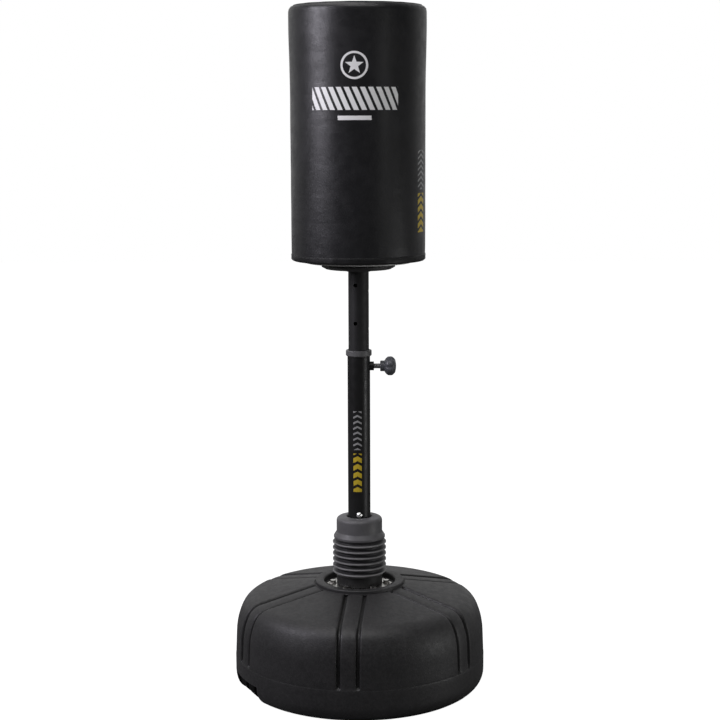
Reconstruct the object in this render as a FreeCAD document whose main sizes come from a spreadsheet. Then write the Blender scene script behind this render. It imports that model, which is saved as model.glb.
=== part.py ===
import FreeCAD, Part

import math
import os

import Sketcher

# A free-standing punch bag on a sprung, telescoping post. Millimetres, +Z up, origin on the floor
# under the middle of the round tank; the front is -Y and the lock knob points to +X.
# Driving dimensions: one line each, and every one is a cell of the sheet.
DIMENSIONS = {
    # blow-moulded tank
    "tank_radius": 285.0,
    "tank_wall": 7.0,
    "tank_edge_round": 38.0,
    "skirt_top": 78.0,
    "skirt_step": 0.8,
    "shoulder_low_radius": 282.3,
    "shoulder_low_height": 130.0,
    "shoulder_low_bend": 141.7,
    "shoulder_mid_radius": 269.15,
    "shoulder_mid_height": 183.9,
    "shoulder_high_bend": 45.3,
    "shoulder_high_radius": 237.0,
    "shoulder_high_height": 209.2,
    "ring_foot_height": 236.5,
    "ring_outer_radius": 101.0,
    "ring_inner_radius": 81.0,
    "ring_top": 243.0,
    "ring_round": 4.0,
    "well_floor": 228.5,
    "well_underside": 210.0,
    "channel_angle": 24.8,
    "channel_slot_offset": 21.5,
    "channel_slot_width": 5.0,
    "channel_slot_depth": 4.5,
    "channel_strap_recess": 1.2,
    "water_level": 198.0,
    "water_gap": 0.3,
    # filler neck and plug, on the rear of the top
    "filler_angle": 104.0,
    "filler_distance": 165.0,
    "filler_boss_radius": 22.0,
    "filler_bore_radius": 15.0,
    "filler_neck_foot": 206.0,
    "filler_seat": 228.5,
    # tilt wheels in the notch of the skirt
    "wheel_angle": 204.8,
    "wheel_distance": 250.0,
    "wheel_height": 36.0,
    "wheel_radius": 28.0,
    "wheel_width": 36.0,
    "wheel_inner_face": 6.0,
    "wheel_room_radius": 31.0,
    "wheel_room_half": 45.0,
    "notch_half": 60.0,
    "notch_height": 45.0,
    "notch_inner": 216.0,
    "axle_radius": 4.0,
    "axle_half": 65.0,
    "housing_half": 70.0,
    "housing_inner": 208.0,
    "housing_height": 75.0,
    "axle_rib_half": 4.0,
    # plate, bolts and spring seat in the well
    "plate_corner_radius": 75.0,
    "plate_thick": 5.0,
    "bolt_circle": 61.0,
    "bolt_radius": 4.0,
    "bolt_head_radius": 6.5,
    "bolt_head_high": 5.0,
    "washer_radius": 9.0,
    "washer_thick": 1.5,
    "insert_radius": 7.0,
    "insert_length": 13.0,
    "cup_outer_radius": 52.0,
    "cup_inner_radius": 47.0,
    "cup_floor_thick": 4.5,
    "cup_top": 262.0,
    # spring and bellows
    "spring_mean_radius": 34.0,
    "spring_wire_radius": 4.5,
    "spring_turns": 7.0,
    "spring_seat_gap": 0.2,
    "bellows_wall": 3.0,
    "bellows_foot": 258.0,
    "bellows_first_rib": 264.7,
    "bellows_pitch": 13.4,
    "bellows_crest_radius": 60.4,
    "bellows_valley_radius": 52.6,
    "bellows_crest_half": 3.0,
    "bellows_flank": 2.2,
    "bellows_flange_radius": 58.0,
    "bellows_flange_low": 342.5,
    "bellows_flange_high": 347.0,
    "bellows_cap_radius": 51.4,
    "bellows_cap_foot": 357.0,
    "bellows_cap_shoulder": 381.5,
    "bellows_cap_round": 8.2,
    "bellows_cap_top": 391.5,
    "bellows_mouth_radius": 27.4,
    # post
    "plug_spigot_radius": 28.8,
    "plug_foot": 322.0,
    "plug_flange_radius": 44.0,
    "plug_flange_low": 345.0,
    "plug_flange_high": 351.0,
    "plug_top": 412.0,
    "plug_bore_radius": 9.0,
    "lower_tube_radius": 25.4,
    "tube_wall": 1.5,
    "lower_tube_top": 766.0,
    "tube_screw_height": 398.0,
    "tube_screw_radius": 3.0,
    "tube_screw_head_radius": 6.3,
    "tube_screw_head_high": 3.6,
    "collar_radius": 29.0,
    "collar_low": 759.7,
    "collar_taper_top": 761.7,
    "collar_high": 773.3,
    "collar_foot": 712.0,
    "sliding_gap": 0.06,
    # lock
    "lock_height": 736.5,
    "nut_radius": 10.0,
    "nut_bore_radius": 5.85,
    "nut_face": 34.0,
    "lock_hole_radius": 6.2,
    "screw_radius": 5.8,
    "tip_radius": 4.0,
    "tip_face": 23.5,
    "tip_shoulder": 32.0,
    "tip_stem_radius": 2.5,
    "tip_stem_end": 38.0,
    "stem_gap": 0.05,
    "knob_neck_face": 48.0,
    "knob_head_face": 58.0,
    "knob_shoulder": 62.5,
    "knob_widest": 71.0,
    "knob_crown": 80.5,
    "knob_end": 84.0,
    "knob_neck_radius": 12.0,
    "knob_radius": 21.5,
    "knob_crown_radius": 15.5,
    "knob_flute_radius": 6.0,
    "knob_flute_circle": 25.5,
    # upper tube
    "upper_tube_radius": 23.0,
    "upper_tube_foot": 600.0,
    "upper_tube_top": 1400.0,
    "hole_radius": 4.4,
    "hole_pitch": 85.0,
    "front_hole_angle": 251.3,
    "front_hole_height": 920.0,
    "guide_foot_height": 12.0,
    # dish and slip washer
    "dish_low": 956.3,
    "dish_foot_radius": 73.0,
    "dish_radius": 82.0,
    "dish_bend_height": 961.0,
    "dish_rim": 964.8,
    "dish_wall": 3.0,
    "slip_gap": 0.1,
    "slip_washer_radius": 63.0,
    "slip_washer_top": 970.6,
    # bag
    "bag_low": 976.7,
    "bag_radius": 148.2,
    "bag_foot_radius": 147.9,
    "bag_flare_low": 1335.0,
    "bag_flare_high": 1495.0,
    "bag_head_radius": 150.9,
    "bag_top": 1530.0,
    "bag_top_round": 23.0,
    "cover_wall": 2.0,
    "cover_lip_radius": 118.4,
    "hem_top": 992.3,
    "hem_thick": 1.1,
    "bottom_disc_radius": 118.0,
    "bottom_disc_low": 970.7,
    "bottom_disc_high": 979.0,
    "core_bore_radius": 23.5,
    "core_wall": 3.0,
    "core_top": 1470.0,
    "core_flange_radius": 60.0,
    "core_flange_thick": 3.0,
    "flange_screw_circle": 48.0,
    "flange_screw_radius": 2.5,
    "flange_screw_head": 5.0,
    "foam_top": 1504.0,
    "board_radius": 138.0,
    "board_thick": 8.0,
    "soft_gap": 0.3,
}
KNOB_FLUTES = 6
PLATE_BOLTS = 6
CHANNEL_PAIRS = 3
BELLOWS_RIBS = 6
LOCK_HOLE_STEPS = (-1, 0, 1, 2)

UP = FreeCAD.Vector(0, 0, 1)
TO_X = FreeCAD.Rotation(FreeCAD.Vector(0, 1, 0), 90)
LEVEL = FreeCAD.Rotation()


class Size:
    """A length or angle that knows its value and the sheet expression that drives it."""

    def __init__(self, value, text):
        self.value = float(value)
        self.text = text

    def joined(self, sign, other, value):
        return Size(value, f"({self.text} {sign} {size(other).text})")

    def __add__(self, other):
        return self.joined("+", other, self.value + size(other).value)

    def __sub__(self, other):
        return self.joined("-", other, self.value - size(other).value)

    def __mul__(self, other):
        return self.joined("*", other, self.value * size(other).value)

    def __truediv__(self, other):
        return self.joined("/", other, self.value / size(other).value)

    def __neg__(self):
        return size(0) - self


def size(number):
    return number if isinstance(number, Size) else Size(number, f"{number:.6f}")


def cell(name):
    return Size(DIMENSIONS[name], f"Sheet.{name}")


def cosine(angle):
    return Size(math.cos(math.radians(angle.value)), f"cos({angle.text} * 1 deg)")


def sine(angle):
    return Size(math.sin(math.radians(angle.value)), f"sin({angle.text} * 1 deg)")


doc = FreeCAD.newDocument("PunchBag")
sheet = doc.addObject("Spreadsheet::Sheet", "Sheet")
for row, (alias, number) in enumerate(DIMENSIONS.items(), start=1):
    sheet.set(f"A{row}", alias)
    sheet.set(f"B{row}", str(number))
    sheet.setAlias(f"B{row}", alias)
doc.recompute()

finished = []


def bind(thing, **sizes):
    for name, value in sizes.items():
        thing.setExpression(name, size(value).text)
    return thing


def place(thing, x=0, y=0, z=0, turn=LEVEL):
    thing.Placement = FreeCAD.Placement(FreeCAD.Vector(), turn)
    for axis, value in (("x", x), ("y", y), ("z", z)):
        thing.setExpression(f"Placement.Base.{axis}", size(value).text)
    return thing


def polar(angle, distance, sideways=0):
    """The x and y of a point at a distance along a direction, and sideways to its left."""
    side = size(sideways)
    across = distance * cosine(angle) - side * sine(angle)
    along = distance * sine(angle) + side * cosine(angle)
    return across, along


def keep(thing, label):
    """Marks a finished sub-part; its label is the name of its file."""
    thing.Label = label
    finished.append(thing)
    return thing


def arc_between(first, last, radius):
    """A circular arc from first to last: anticlockwise for a positive radius, clockwise for a negative."""
    if radius < 0:
        first, last = last, first
    middle = (first + last) * 0.5
    chord = last - first
    reach = math.sqrt(radius * radius - chord.Length * chord.Length / 4)
    centre = middle + FreeCAD.Vector(-chord.y, chord.x, 0).normalize() * reach
    start, end = (math.atan2(p.y - centre.y, p.x - centre.x) for p in (first, last))
    return Part.ArcOfCircle(Part.Circle(centre, UP, abs(radius)), start, end)


def outline_sketch(body, name, plane, corners):
    """A closed outline of (across, up) corners, with a third item where an arc of that radius follows."""
    sketch = body.newObject("Sketcher::SketchObject", name)
    origin_plane = next(f for f in body.Origin.OriginFeatures if f.Role == plane)
    sketch.AttachmentSupport = [(origin_plane, "")]
    sketch.MapMode = "FlatFace"
    points = [FreeCAD.Vector(size(c[0]).value, size(c[1]).value, 0) for c in corners]
    starts, ends, bends = [], [], []
    for i, corner in enumerate(corners):
        following = points[(i + 1) % len(points)]
        if len(corner) == 3:
            radius = size(corner[2])
            sketch.addGeometry(arc_between(points[i], following, radius.value))
            clockwise = radius.value < 0
            bends.append((i, -radius if clockwise else radius))
        else:
            sketch.addGeometry(Part.LineSegment(points[i], following))
            clockwise = False
        starts.append(2 if clockwise else 1)
        ends.append(1 if clockwise else 2)
    for i in range(len(corners)):
        j = (i + 1) % len(corners)
        sketch.addConstraint(Sketcher.Constraint("Coincident", i, ends[i], j, starts[j]))
    for i, corner in enumerate(corners):
        for kind, value in (("DistanceX", corner[0]), ("DistanceY", corner[1])):
            constraint = Sketcher.Constraint(kind, -1, 1, i, starts[i], size(value).value)
            label = f"{kind}{i}"
            sketch.renameConstraint(sketch.addConstraint(constraint), label)
            sketch.setExpression(f"Constraints.{label}", size(value).text)
    for i, radius in bends:
        label = f"Bend{i}"
        constraint = Sketcher.Constraint("Radius", i, radius.value)
        sketch.renameConstraint(sketch.addConstraint(constraint), label)
        sketch.setExpression(f"Constraints.{label}", radius.text)
    return sketch


def turned(name, corners, turn=LEVEL, z=0):
    """A body turned about its own vertical axis from its half section."""
    body = doc.addObject("PartDesign::Body", name)
    sketch = outline_sketch(body, f"{name}_section", "XZ_Plane", corners)
    solid = body.newObject("PartDesign::Revolution", f"{name}_turned")
    solid.Profile = sketch
    solid.ReferenceAxis = (sketch, ["V_Axis"])
    solid.Angle = 360
    if turn != LEVEL or z != 0:
        place(body, z=z, turn=turn)
    return body


def cylinder(name, radius, height, x=0, y=0, z=0, turn=LEVEL):
    return place(bind(doc.addObject("Part::Cylinder", name), Radius=radius, Height=height), x, y, z, turn)


def ring(low, high, inner, outer):
    """The half section of a plain ring."""
    return [(inner, low), (outer, low), (outer, high), (inner, high)]


def box(name, angle, near, far, left, right, low, high):
    """A box that points along a horizontal direction, from near to far, and from right to left of it."""
    block = doc.addObject("Part::Box", name)
    bind(block, Length=size(far) - near, Width=size(left) - right, Height=size(high) - low)
    x, y = polar(angle, size(near), right)
    return place(block, x, y, low, FreeCAD.Rotation(UP, angle.value))


def cut(name, base, *tools):
    result = base
    for i, tool in enumerate(tools):
        step = doc.addObject("Part::Cut", name if i == len(tools) - 1 else f"{name}_{i}")
        step.Base = result
        step.Tool = tool
        result = step
    return result


def fuse(name, *shapes):
    result = doc.addObject("Part::MultiFuse", name)
    result.Shapes = list(shapes)
    return result


def group(name, members):
    result = doc.addObject("Part::Compound", name)
    result.Links = members
    return result


# ---------------------------------------------------------------- tank
def tank_side(inset):
    """The tank's outline from its underside up to the top's edge, drawn in by inset."""
    inset = size(inset)
    edge = cell("tank_radius") - inset
    low_normal = size(25)
    high_normal = size(78.6)
    return [
        (0, inset),
        (cell("tank_radius") - cell("tank_edge_round"), inset, cell("tank_edge_round") - inset),
        (edge, cell("tank_edge_round")),
        (edge, cell("skirt_top")),
        (edge - cell("skirt_step"), cell("skirt_top") + cell("skirt_step")),
        (
            cell("shoulder_low_radius") - inset,
            cell("shoulder_low_height"),
            cell("shoulder_low_bend") - inset,
        ),
        (
            cell("shoulder_mid_radius") - inset * cosine(low_normal),
            cell("shoulder_mid_height") - inset * sine(low_normal),
            cell("shoulder_high_bend") - inset,
        ),
        (
            cell("shoulder_high_radius") - inset * cosine(high_normal),
            cell("shoulder_high_height") - inset * sine(high_normal),
        ),
    ]


def top_slope_height(radius):
    """The height of the tank's sloping top at a radius."""
    run = cell("shoulder_high_radius") - cell("ring_outer_radius")
    rise = cell("ring_foot_height") - cell("shoulder_high_height")
    return cell("shoulder_high_height") + (cell("shoulder_high_radius") - radius) * rise / run


def tank_blank():
    ring_out, ring_in = cell("ring_outer_radius"), cell("ring_inner_radius")
    top, bend = cell("ring_top"), cell("ring_round")
    return turned(
        "tank_blank",
        tank_side(0)
        + [
            (ring_out, cell("ring_foot_height")),
            (ring_out, top - bend, bend),
            (ring_out - bend, top),
            (ring_in + bend, top, bend),
            (ring_in, top - bend),
            (ring_in, cell("well_floor")),
            (0, cell("well_floor")),
        ],
    )


def tank_cavity(name, inset):
    """The space inside the tank, under the top's slope and round the well's floor."""
    inset = size(inset)
    wall = cell("ring_inner_radius") + inset
    return turned(
        name,
        tank_side(inset)
        + [
            (wall, top_slope_height(wall) - inset),
            (wall, cell("well_underside")),
            (0, cell("well_underside")),
        ],
    )


def channel_floor(name, depth):
    """What stays under the channels: the tank's shape, drawn in by a channel's depth."""
    reach = cell("ring_outer_radius")
    height = cell("ring_foot_height") - depth
    return turned(name, tank_side(depth) + [(reach, height), (0, height)])


def channel_tools():
    """Six radial channels: a shallow strap between two deeper slots, above the skirt and outside the ring."""
    reach = cell("tank_radius") + 5
    slot = cell("channel_slot_width") / 2
    offset = cell("channel_slot_offset")
    strap, slots = [], []
    for i in range(CHANNEL_PAIRS):
        angle = cell("channel_angle") + i * 60
        low, high = cell("skirt_top"), cell("ring_top") + 5
        strap.append(box(f"strap_{i}", angle, -reach, reach, offset, -offset, low, high))
        for side in (-1, 1):
            middle = offset * side
            slab = box(f"slot_{i}_{side + 1}", angle, -reach, reach, middle + slot, middle - slot, low, high)
            slots.append(slab)
    hub = cylinder("channel_hub", cell("ring_outer_radius") + 3, cell("ring_top") + 10)
    strap_floor = channel_floor("strap_floor", cell("channel_strap_recess"))
    slot_floor = channel_floor("slot_floor", cell("channel_slot_depth"))
    return (
        cut("strap_tool", fuse("straps", *strap), hub, strap_floor),
        cut("slot_tool", fuse("slots", *slots), hub, slot_floor),
    )


def across_wheels(name, radius, half, start=None):
    """A cylinder along the wheels' axle."""
    angle = cell("wheel_angle")
    first = -size(half) if start is None else size(start)
    x, y = polar(angle, cell("wheel_distance"), first)
    turn = FreeCAD.Rotation(UP, angle.value) * FreeCAD.Rotation(FreeCAD.Vector(1, 0, 0), -90)
    length = size(half) - first
    return cylinder(name, radius, length, x, y, cell("wheel_height"), turn)


def wheel_room():
    """The notch in the skirt and the room over the wheels, with a rib left in the middle for the axle."""
    angle = cell("wheel_angle")
    beyond = cell("tank_radius") + 10
    half = cell("notch_half")
    notch = box("notch", angle, cell("notch_inner"), beyond, half, -half, -5, cell("notch_height"))
    room = across_wheels("wheel_arch", cell("wheel_room_radius"), cell("wheel_room_half"))
    rib_half = cell("axle_rib_half")
    reach = cell("wheel_distance") + cell("wheel_room_radius") * 0.7
    rib_foot = cell("wheel_height") - 14
    top = cell("housing_height")
    rib = box("axle_rib", angle, cell("notch_inner") - 2, reach, rib_half, -rib_half, rib_foot, top)
    hole = across_wheels("axle_hole", cell("axle_radius"), cell("axle_half"))
    return fuse("wheel_void", cut("wheel_space", fuse("wheel_opening", notch, room), rib), hole)


def housing(name, grow):
    """The thick block that the wheels' room is hollowed out of."""
    half = cell("housing_half") + grow
    inner = cell("housing_inner") - grow
    high = cell("housing_height") + grow
    return box(name, cell("wheel_angle"), inner, cell("tank_radius") + 10, half, -half, -5, high)


def filler_tube(name, radius, low, high):
    x, y = polar(cell("filler_angle"), cell("filler_distance"))
    return cylinder(name, radius, size(high) - low, x, y, low)


def round_the_plate(name, radius, low, high, count=PLATE_BOLTS):
    """Short cylinders on the plate's bolt circle."""
    step = 360 / count
    members = []
    for i in range(count):
        x, y = polar(size(i * step), cell("bolt_circle"))
        members.append(cylinder(f"{name}_{i}", radius, size(high) - low, x, y, low))
    return members


def make_tank():
    strap_tool, slot_tool = channel_tools()
    hollow = cut("tank_hollow", tank_cavity("tank_space", cell("tank_wall")), housing("housing_block", 0))
    boss_radius = cell("filler_boss_radius")
    boss = filler_tube("filler_boss", boss_radius, cell("filler_neck_foot"), cell("filler_seat"))
    bore = filler_tube("filler_bore", cell("filler_bore_radius"), 190, 240)
    pockets = round_the_plate(
        "insert_pocket",
        cell("insert_radius"),
        cell("well_floor") - cell("insert_length"),
        cell("well_floor") + 5,
    )
    shell = cut("tank_shell", tank_blank(), hollow, strap_tool, slot_tool, wheel_room())
    tank = cut("tank_whole", fuse("tank_with_neck", shell, boss), bore, *pockets)
    keep(tank, "base_tank")


def make_water():
    inset = cell("tank_wall") + cell("water_gap")
    level = cylinder("water_limit", cell("tank_radius"), cell("water_level"))
    below = doc.addObject("Part::Common", "water_below")
    below.Base = tank_cavity("water_space", inset)
    below.Tool = level
    keep(cut("water_body", below, housing("housing_clear", cell("water_gap"))), "water_ballast")


# ---------------------------------------------------------------- filler plug
def make_filler_plug():
    x, y = polar(cell("filler_angle"), cell("filler_distance"))
    seat = cell("filler_seat")
    bore = cell("filler_bore_radius")
    groove_low, groove_high = size(-6.5), size(-3.5)
    neck = bore - 0.6
    wall = size(2.5)
    plug = turned(
        "plug_turned",
        [
            (0, -wall),
            (neck - wall, -wall),
            (neck - wall, -10),
            (neck, -10),
            (neck, groove_low),
            (neck - 1.5, groove_low),
            (neck - 1.5, groove_high),
            (neck, groove_high),
            (neck, 0.1),
            (cell("filler_boss_radius") - 2, 0.1),
            (cell("filler_boss_radius") - 2, 3, 2),
            (cell("filler_boss_radius") - 4, 5),
            (9, 5),
            (8, 3),
            (0, 3),
        ],
    )
    bar = place(bind(doc.addObject("Part::Box", "plug_bar"), Length=15, Width=4, Height=4.5), -7.5, -2, 1)
    keep(place(fuse("plug_whole", plug, bar), x, y, seat), "filler_plug")
    seal = turned("seal_turned", ring(groove_low, groove_high, neck - 1.5, bore - 0.05))
    keep(place(seal, x, y, seat), "plug_seal")


# ---------------------------------------------------------------- wheels
def make_wheels():
    angle = cell("wheel_angle")
    axle = across_wheels("axle", cell("axle_radius"), cell("axle_half"))
    keep(axle, "wheel_axle")
    width = cell("wheel_width")
    radius = cell("wheel_radius")
    bore = cell("axle_radius") + cell("sliding_gap")
    rounding = size(5)
    turn = FreeCAD.Rotation(UP, angle.value) * FreeCAD.Rotation(FreeCAD.Vector(1, 0, 0), -90)
    section = [
        (bore, 0),
        (9, 0),
        (9, 3),
        (radius - 6, 3),
        (radius - 6, 0),
        (radius - rounding, 0, rounding),
        (radius, rounding),
        (radius, width - rounding, rounding),
        (radius - rounding, width),
        (radius - 6, width),
        (radius - 6, width - 3),
        (9, width - 3),
        (9, width),
        (bore, width),
    ]
    for label, first in (
        ("wheel_front", -cell("wheel_inner_face") - width),
        ("wheel_rear", cell("wheel_inner_face")),
    ):
        x, y = polar(angle, cell("wheel_distance"), first)
        wheel = turned(f"{label}_turned", section)
        keep(place(wheel, x, y, cell("wheel_height"), turn), label)
    clips = []
    outer = cell("wheel_inner_face") + width
    for i, first in enumerate((outer + 0.3, -outer - 1.8)):
        disc = across_wheels(f"clip_disc_{i}", 8, first + 1.5, first)
        hole = across_wheels(f"clip_hole_{i}", cell("axle_radius"), first + 3, first - 1)
        clips.append(cut(f"clip_{i}", disc, hole))
    keep(group("clips", clips), "axle_clips")


# ---------------------------------------------------------------- plate in the well
def make_plate():
    floor = cell("well_floor")
    plate_top = floor + cell("plate_thick")
    hexagon = doc.addObject("Part::Prism", "plate_hexagon")
    hexagon.Polygon = 6
    bind(hexagon, Circumradius=cell("plate_corner_radius"), Height=cell("plate_thick"))
    place(hexagon, z=floor)
    limit = cylinder("plate_corners", cell("plate_corner_radius") - 1, cell("plate_thick"), z=floor)
    rounded = doc.addObject("Part::Common", "plate_rounded")
    rounded.Base = hexagon
    rounded.Tool = limit
    holes = round_the_plate("plate_hole", cell("bolt_radius") + 0.5, floor - 1, plate_top + 1)
    keep(cut("plate", rounded, *holes), "mounting_plate")

    washer_top = plate_top + cell("washer_thick")
    washers = []
    rims = round_the_plate("washer_rim", cell("washer_radius"), plate_top, washer_top)
    eyes = round_the_plate("washer_eye", cell("bolt_radius") + 0.3, plate_top - 1, washer_top + 1)
    for i, (rim, eye) in enumerate(zip(rims, eyes)):
        washers.append(cut(f"washer_{i}", rim, eye))
    keep(group("washers", washers), "plate_washers")

    head_top = washer_top + cell("bolt_head_high")
    shank_foot = floor - cell("insert_length") + 2
    bolts = []
    for i in range(PLATE_BOLTS):
        x, y = polar(size(i * 360 / PLATE_BOLTS), cell("bolt_circle"))
        head = doc.addObject("Part::Prism", f"bolt_head_{i}")
        head.Polygon = 6
        bind(head, Circumradius=cell("bolt_head_radius"), Height=cell("bolt_head_high"))
        place(head, x, y, washer_top)
        flange = cylinder(f"bolt_flange_{i}", cell("washer_radius") - 1.5, 1.2, x, y, washer_top)
        shank = cylinder(f"bolt_shank_{i}", cell("bolt_radius"), head_top - shank_foot - 1, x, y, shank_foot)
        bolts.append(fuse(f"bolt_{i}", head, flange, shank))
    keep(group("bolts", bolts), "plate_bolts")

    inserts = []
    insert_foot = floor - cell("insert_length")
    bodies = round_the_plate("insert_body", cell("insert_radius"), insert_foot, floor)
    threads = round_the_plate("insert_thread", cell("bolt_radius"), shank_foot, floor + 1)
    for i, (outside, thread) in enumerate(zip(bodies, threads)):
        inserts.append(cut(f"insert_{i}", outside, thread))
    keep(group("inserts", inserts), "tank_inserts")

    cup_floor = plate_top + cell("cup_floor_thick")
    outer, inner = cell("cup_outer_radius"), cell("cup_inner_radius")
    cup = turned(
        "cup_turned",
        [
            (12, plate_top),
            (outer - 2, plate_top),
            (outer, plate_top + 2),
            (outer, cell("cup_top")),
            (inner, cell("cup_top")),
            (inner, cup_floor),
            (12, cup_floor),
        ],
    )
    keep(cup, "spring_cup")
    return cup_floor


# ---------------------------------------------------------------- spring and bellows
def make_spring(seat):
    wire, gap = cell("spring_wire_radius"), cell("spring_seat_gap")
    first = seat + wire + gap
    height = cell("plug_flange_low") - gap - wire - first
    helix = doc.addObject("Part::Helix", "spring_line")
    bind(helix, Radius=cell("spring_mean_radius"), Height=height, Pitch=height / cell("spring_turns"))
    place(helix, z=first)
    wire_circle = bind(doc.addObject("Part::Circle", "spring_wire"), Radius=wire)
    upright = FreeCAD.Rotation(FreeCAD.Vector(1, 0, 0), 90)
    place(wire_circle, cell("spring_mean_radius"), 0, first, upright)
    sweep = doc.addObject("Part::Sweep", "spring_sweep")
    sweep.Sections = [wire_circle]
    sweep.Spine = (helix, [])
    sweep.Solid = True
    sweep.Frenet = True
    keep(sweep, "coil_spring")


def bellows_ribs(shrink):
    """The ribs' corners from bottom to top, drawn in by shrink across and thinned by a third of it upward."""
    crest = cell("bellows_crest_radius") - shrink
    valley = cell("bellows_valley_radius") - shrink
    half = cell("bellows_crest_half") - size(shrink) / 3
    flank = cell("bellows_flank")
    corners = []
    for i in range(BELLOWS_RIBS):
        middle = cell("bellows_first_rib") + cell("bellows_pitch") * i
        corners.append((valley, middle - half - flank))
        corners.append((crest, middle - half))
        corners.append((crest, middle + half))
        corners.append((valley, middle + half + flank))
    return corners


def make_bellows():
    wall = cell("bellows_wall")
    flange = cell("bellows_flange_radius")
    low, high = cell("bellows_flange_low"), cell("bellows_flange_high")
    cap = cell("bellows_cap_radius")
    foot, shoulder, top = cell("bellows_cap_foot"), cell("bellows_cap_shoulder"), cell("bellows_cap_top")
    bend = cell("bellows_cap_round")
    mouth = cell("bellows_mouth_radius")
    outside = bellows_ribs(0)[2:]
    outside = [(cell("bellows_crest_radius"), cell("bellows_foot"))] + outside
    outside += [
        (flange, low),
        (flange, high),
        (cap, foot),
        (cap, shoulder, bend),
        (cap - bend * 0.95, shoulder + bend * 0.98),
        (mouth, top),
    ]
    inside = [(mouth, top - wall), (cap - bend * 0.95, top - wall - 2), (cap - wall, shoulder - wall)]
    inside += [(cap - wall, foot - 1), (flange - wall, high - 1), (flange - wall, low + 2)]
    inside += list(reversed(bellows_ribs(wall)[4:]))
    first_valley = cell("bellows_first_rib") + cell("bellows_crest_half")
    lip = cell("cup_outer_radius") + cell("soft_gap")
    inside += [(lip, first_valley + 1), (lip, cell("bellows_foot"))]
    keep(turned("bellows_turned", outside + inside), "bellows")


# ---------------------------------------------------------------- post
def make_post():
    bore = cell("plug_bore_radius")
    low, high = cell("plug_flange_low"), cell("plug_flange_high")
    outside = cell("lower_tube_radius")
    inside = outside - cell("tube_wall")
    spigot = inside - cell("sliding_gap")
    screw_height = cell("tube_screw_height")
    plug = turned(
        "plug_body",
        [
            (bore, cell("plug_foot")),
            (cell("plug_spigot_radius") - 3, cell("plug_foot")),
            (cell("plug_spigot_radius"), cell("plug_foot") + 3),
            (cell("plug_spigot_radius"), low),
            (cell("plug_flange_radius"), low),
            (cell("plug_flange_radius"), high),
            (spigot, high),
            (spigot, cell("plug_top") - 2),
            (spigot - 2, cell("plug_top")),
            (bore, cell("plug_top")),
        ],
    )
    along_y = FreeCAD.Rotation(FreeCAD.Vector(1, 0, 0), -90)
    screw_radius = cell("tube_screw_radius")
    screw_hole = cylinder("plug_screw_hole", screw_radius, 80, y=-40, z=screw_height, turn=along_y)
    keep(cut("plug", plug, screw_hole), "spring_plug")

    tube = turned("lower_tube_turned", ring(high, cell("lower_tube_top"), inside, outside))
    clear = screw_radius + 0.3
    holes = cylinder("tube_screw_holes", clear, 80, y=-40, z=screw_height, turn=along_y)
    lock = cylinder("tube_lock_hole", cell("lock_hole_radius"), 20, 15, 0, cell("lock_height"), TO_X)
    keep(cut("lower_tube_drilled", tube, holes, lock), "lower_tube")

    screws = []
    head_radius, head_high = cell("tube_screw_head_radius"), cell("tube_screw_head_high")
    for i, side in enumerate((-1, 1)):
        turn = FreeCAD.Rotation(FreeCAD.Vector(1, 0, 0), -90 * side)
        face = outside * side
        screw = turned(
            f"tube_screw_{i}",
            [
                (0, -14),
                (screw_radius, -14),
                (screw_radius, 0),
                (head_radius, 0),
                (head_radius, 1),
                (head_radius * 0.5, head_high),
                (0, head_high),
            ],
        )
        slots = []
        for j, (length, width) in enumerate(((7, 1.4), (1.4, 7))):
            slot = bind(doc.addObject("Part::Box", f"cross_{i}_{j}"), Length=length, Width=width, Height=4)
            slots.append(place(slot, -length / 2, -width / 2, head_high - 1.8))
        screws.append(place(cut(f"cross_screw_{i}", screw, *slots), 0, face, screw_height, turn))
    keep(group("screws", screws), "tube_screws")

    nut_start = outside - 3
    nut_length = cell("nut_face") - nut_start
    nut = cylinder("nut_blank", cell("nut_radius"), nut_length, nut_start, 0, cell("lock_height"), TO_X)
    bore_tool = cylinder("nut_bore", cell("nut_bore_radius"), 30, 15, 0, cell("lock_height"), TO_X)
    tube_tool = cylinder("nut_saddle", outside, 40, z=cell("lock_height") - 20)
    keep(cut("nut", nut, tube_tool, bore_tool), "weld_nut")

    slide = cell("upper_tube_radius") + cell("sliding_gap")
    sleeve = inside - 0.03
    collar = turned(
        "collar_turned",
        [
            (slide, cell("collar_foot")),
            (sleeve, cell("collar_foot")),
            (sleeve, cell("lower_tube_top")),
            (outside, cell("lower_tube_top")),
            (outside, cell("collar_low")),
            (outside + 1, cell("collar_low")),
            (cell("collar_radius"), cell("collar_taper_top")),
            (cell("collar_radius"), cell("collar_high") - 2, 2),
            (cell("collar_radius") - 2, cell("collar_high")),
            (slide + 1, cell("collar_high")),
            (slide, cell("collar_high") - 1),
        ],
    )
    passage = cylinder("collar_lock_hole", cell("lock_hole_radius"), 20, 15, 0, cell("lock_height"), TO_X)
    keep(cut("collar", collar, passage), "collar_bush")


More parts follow.
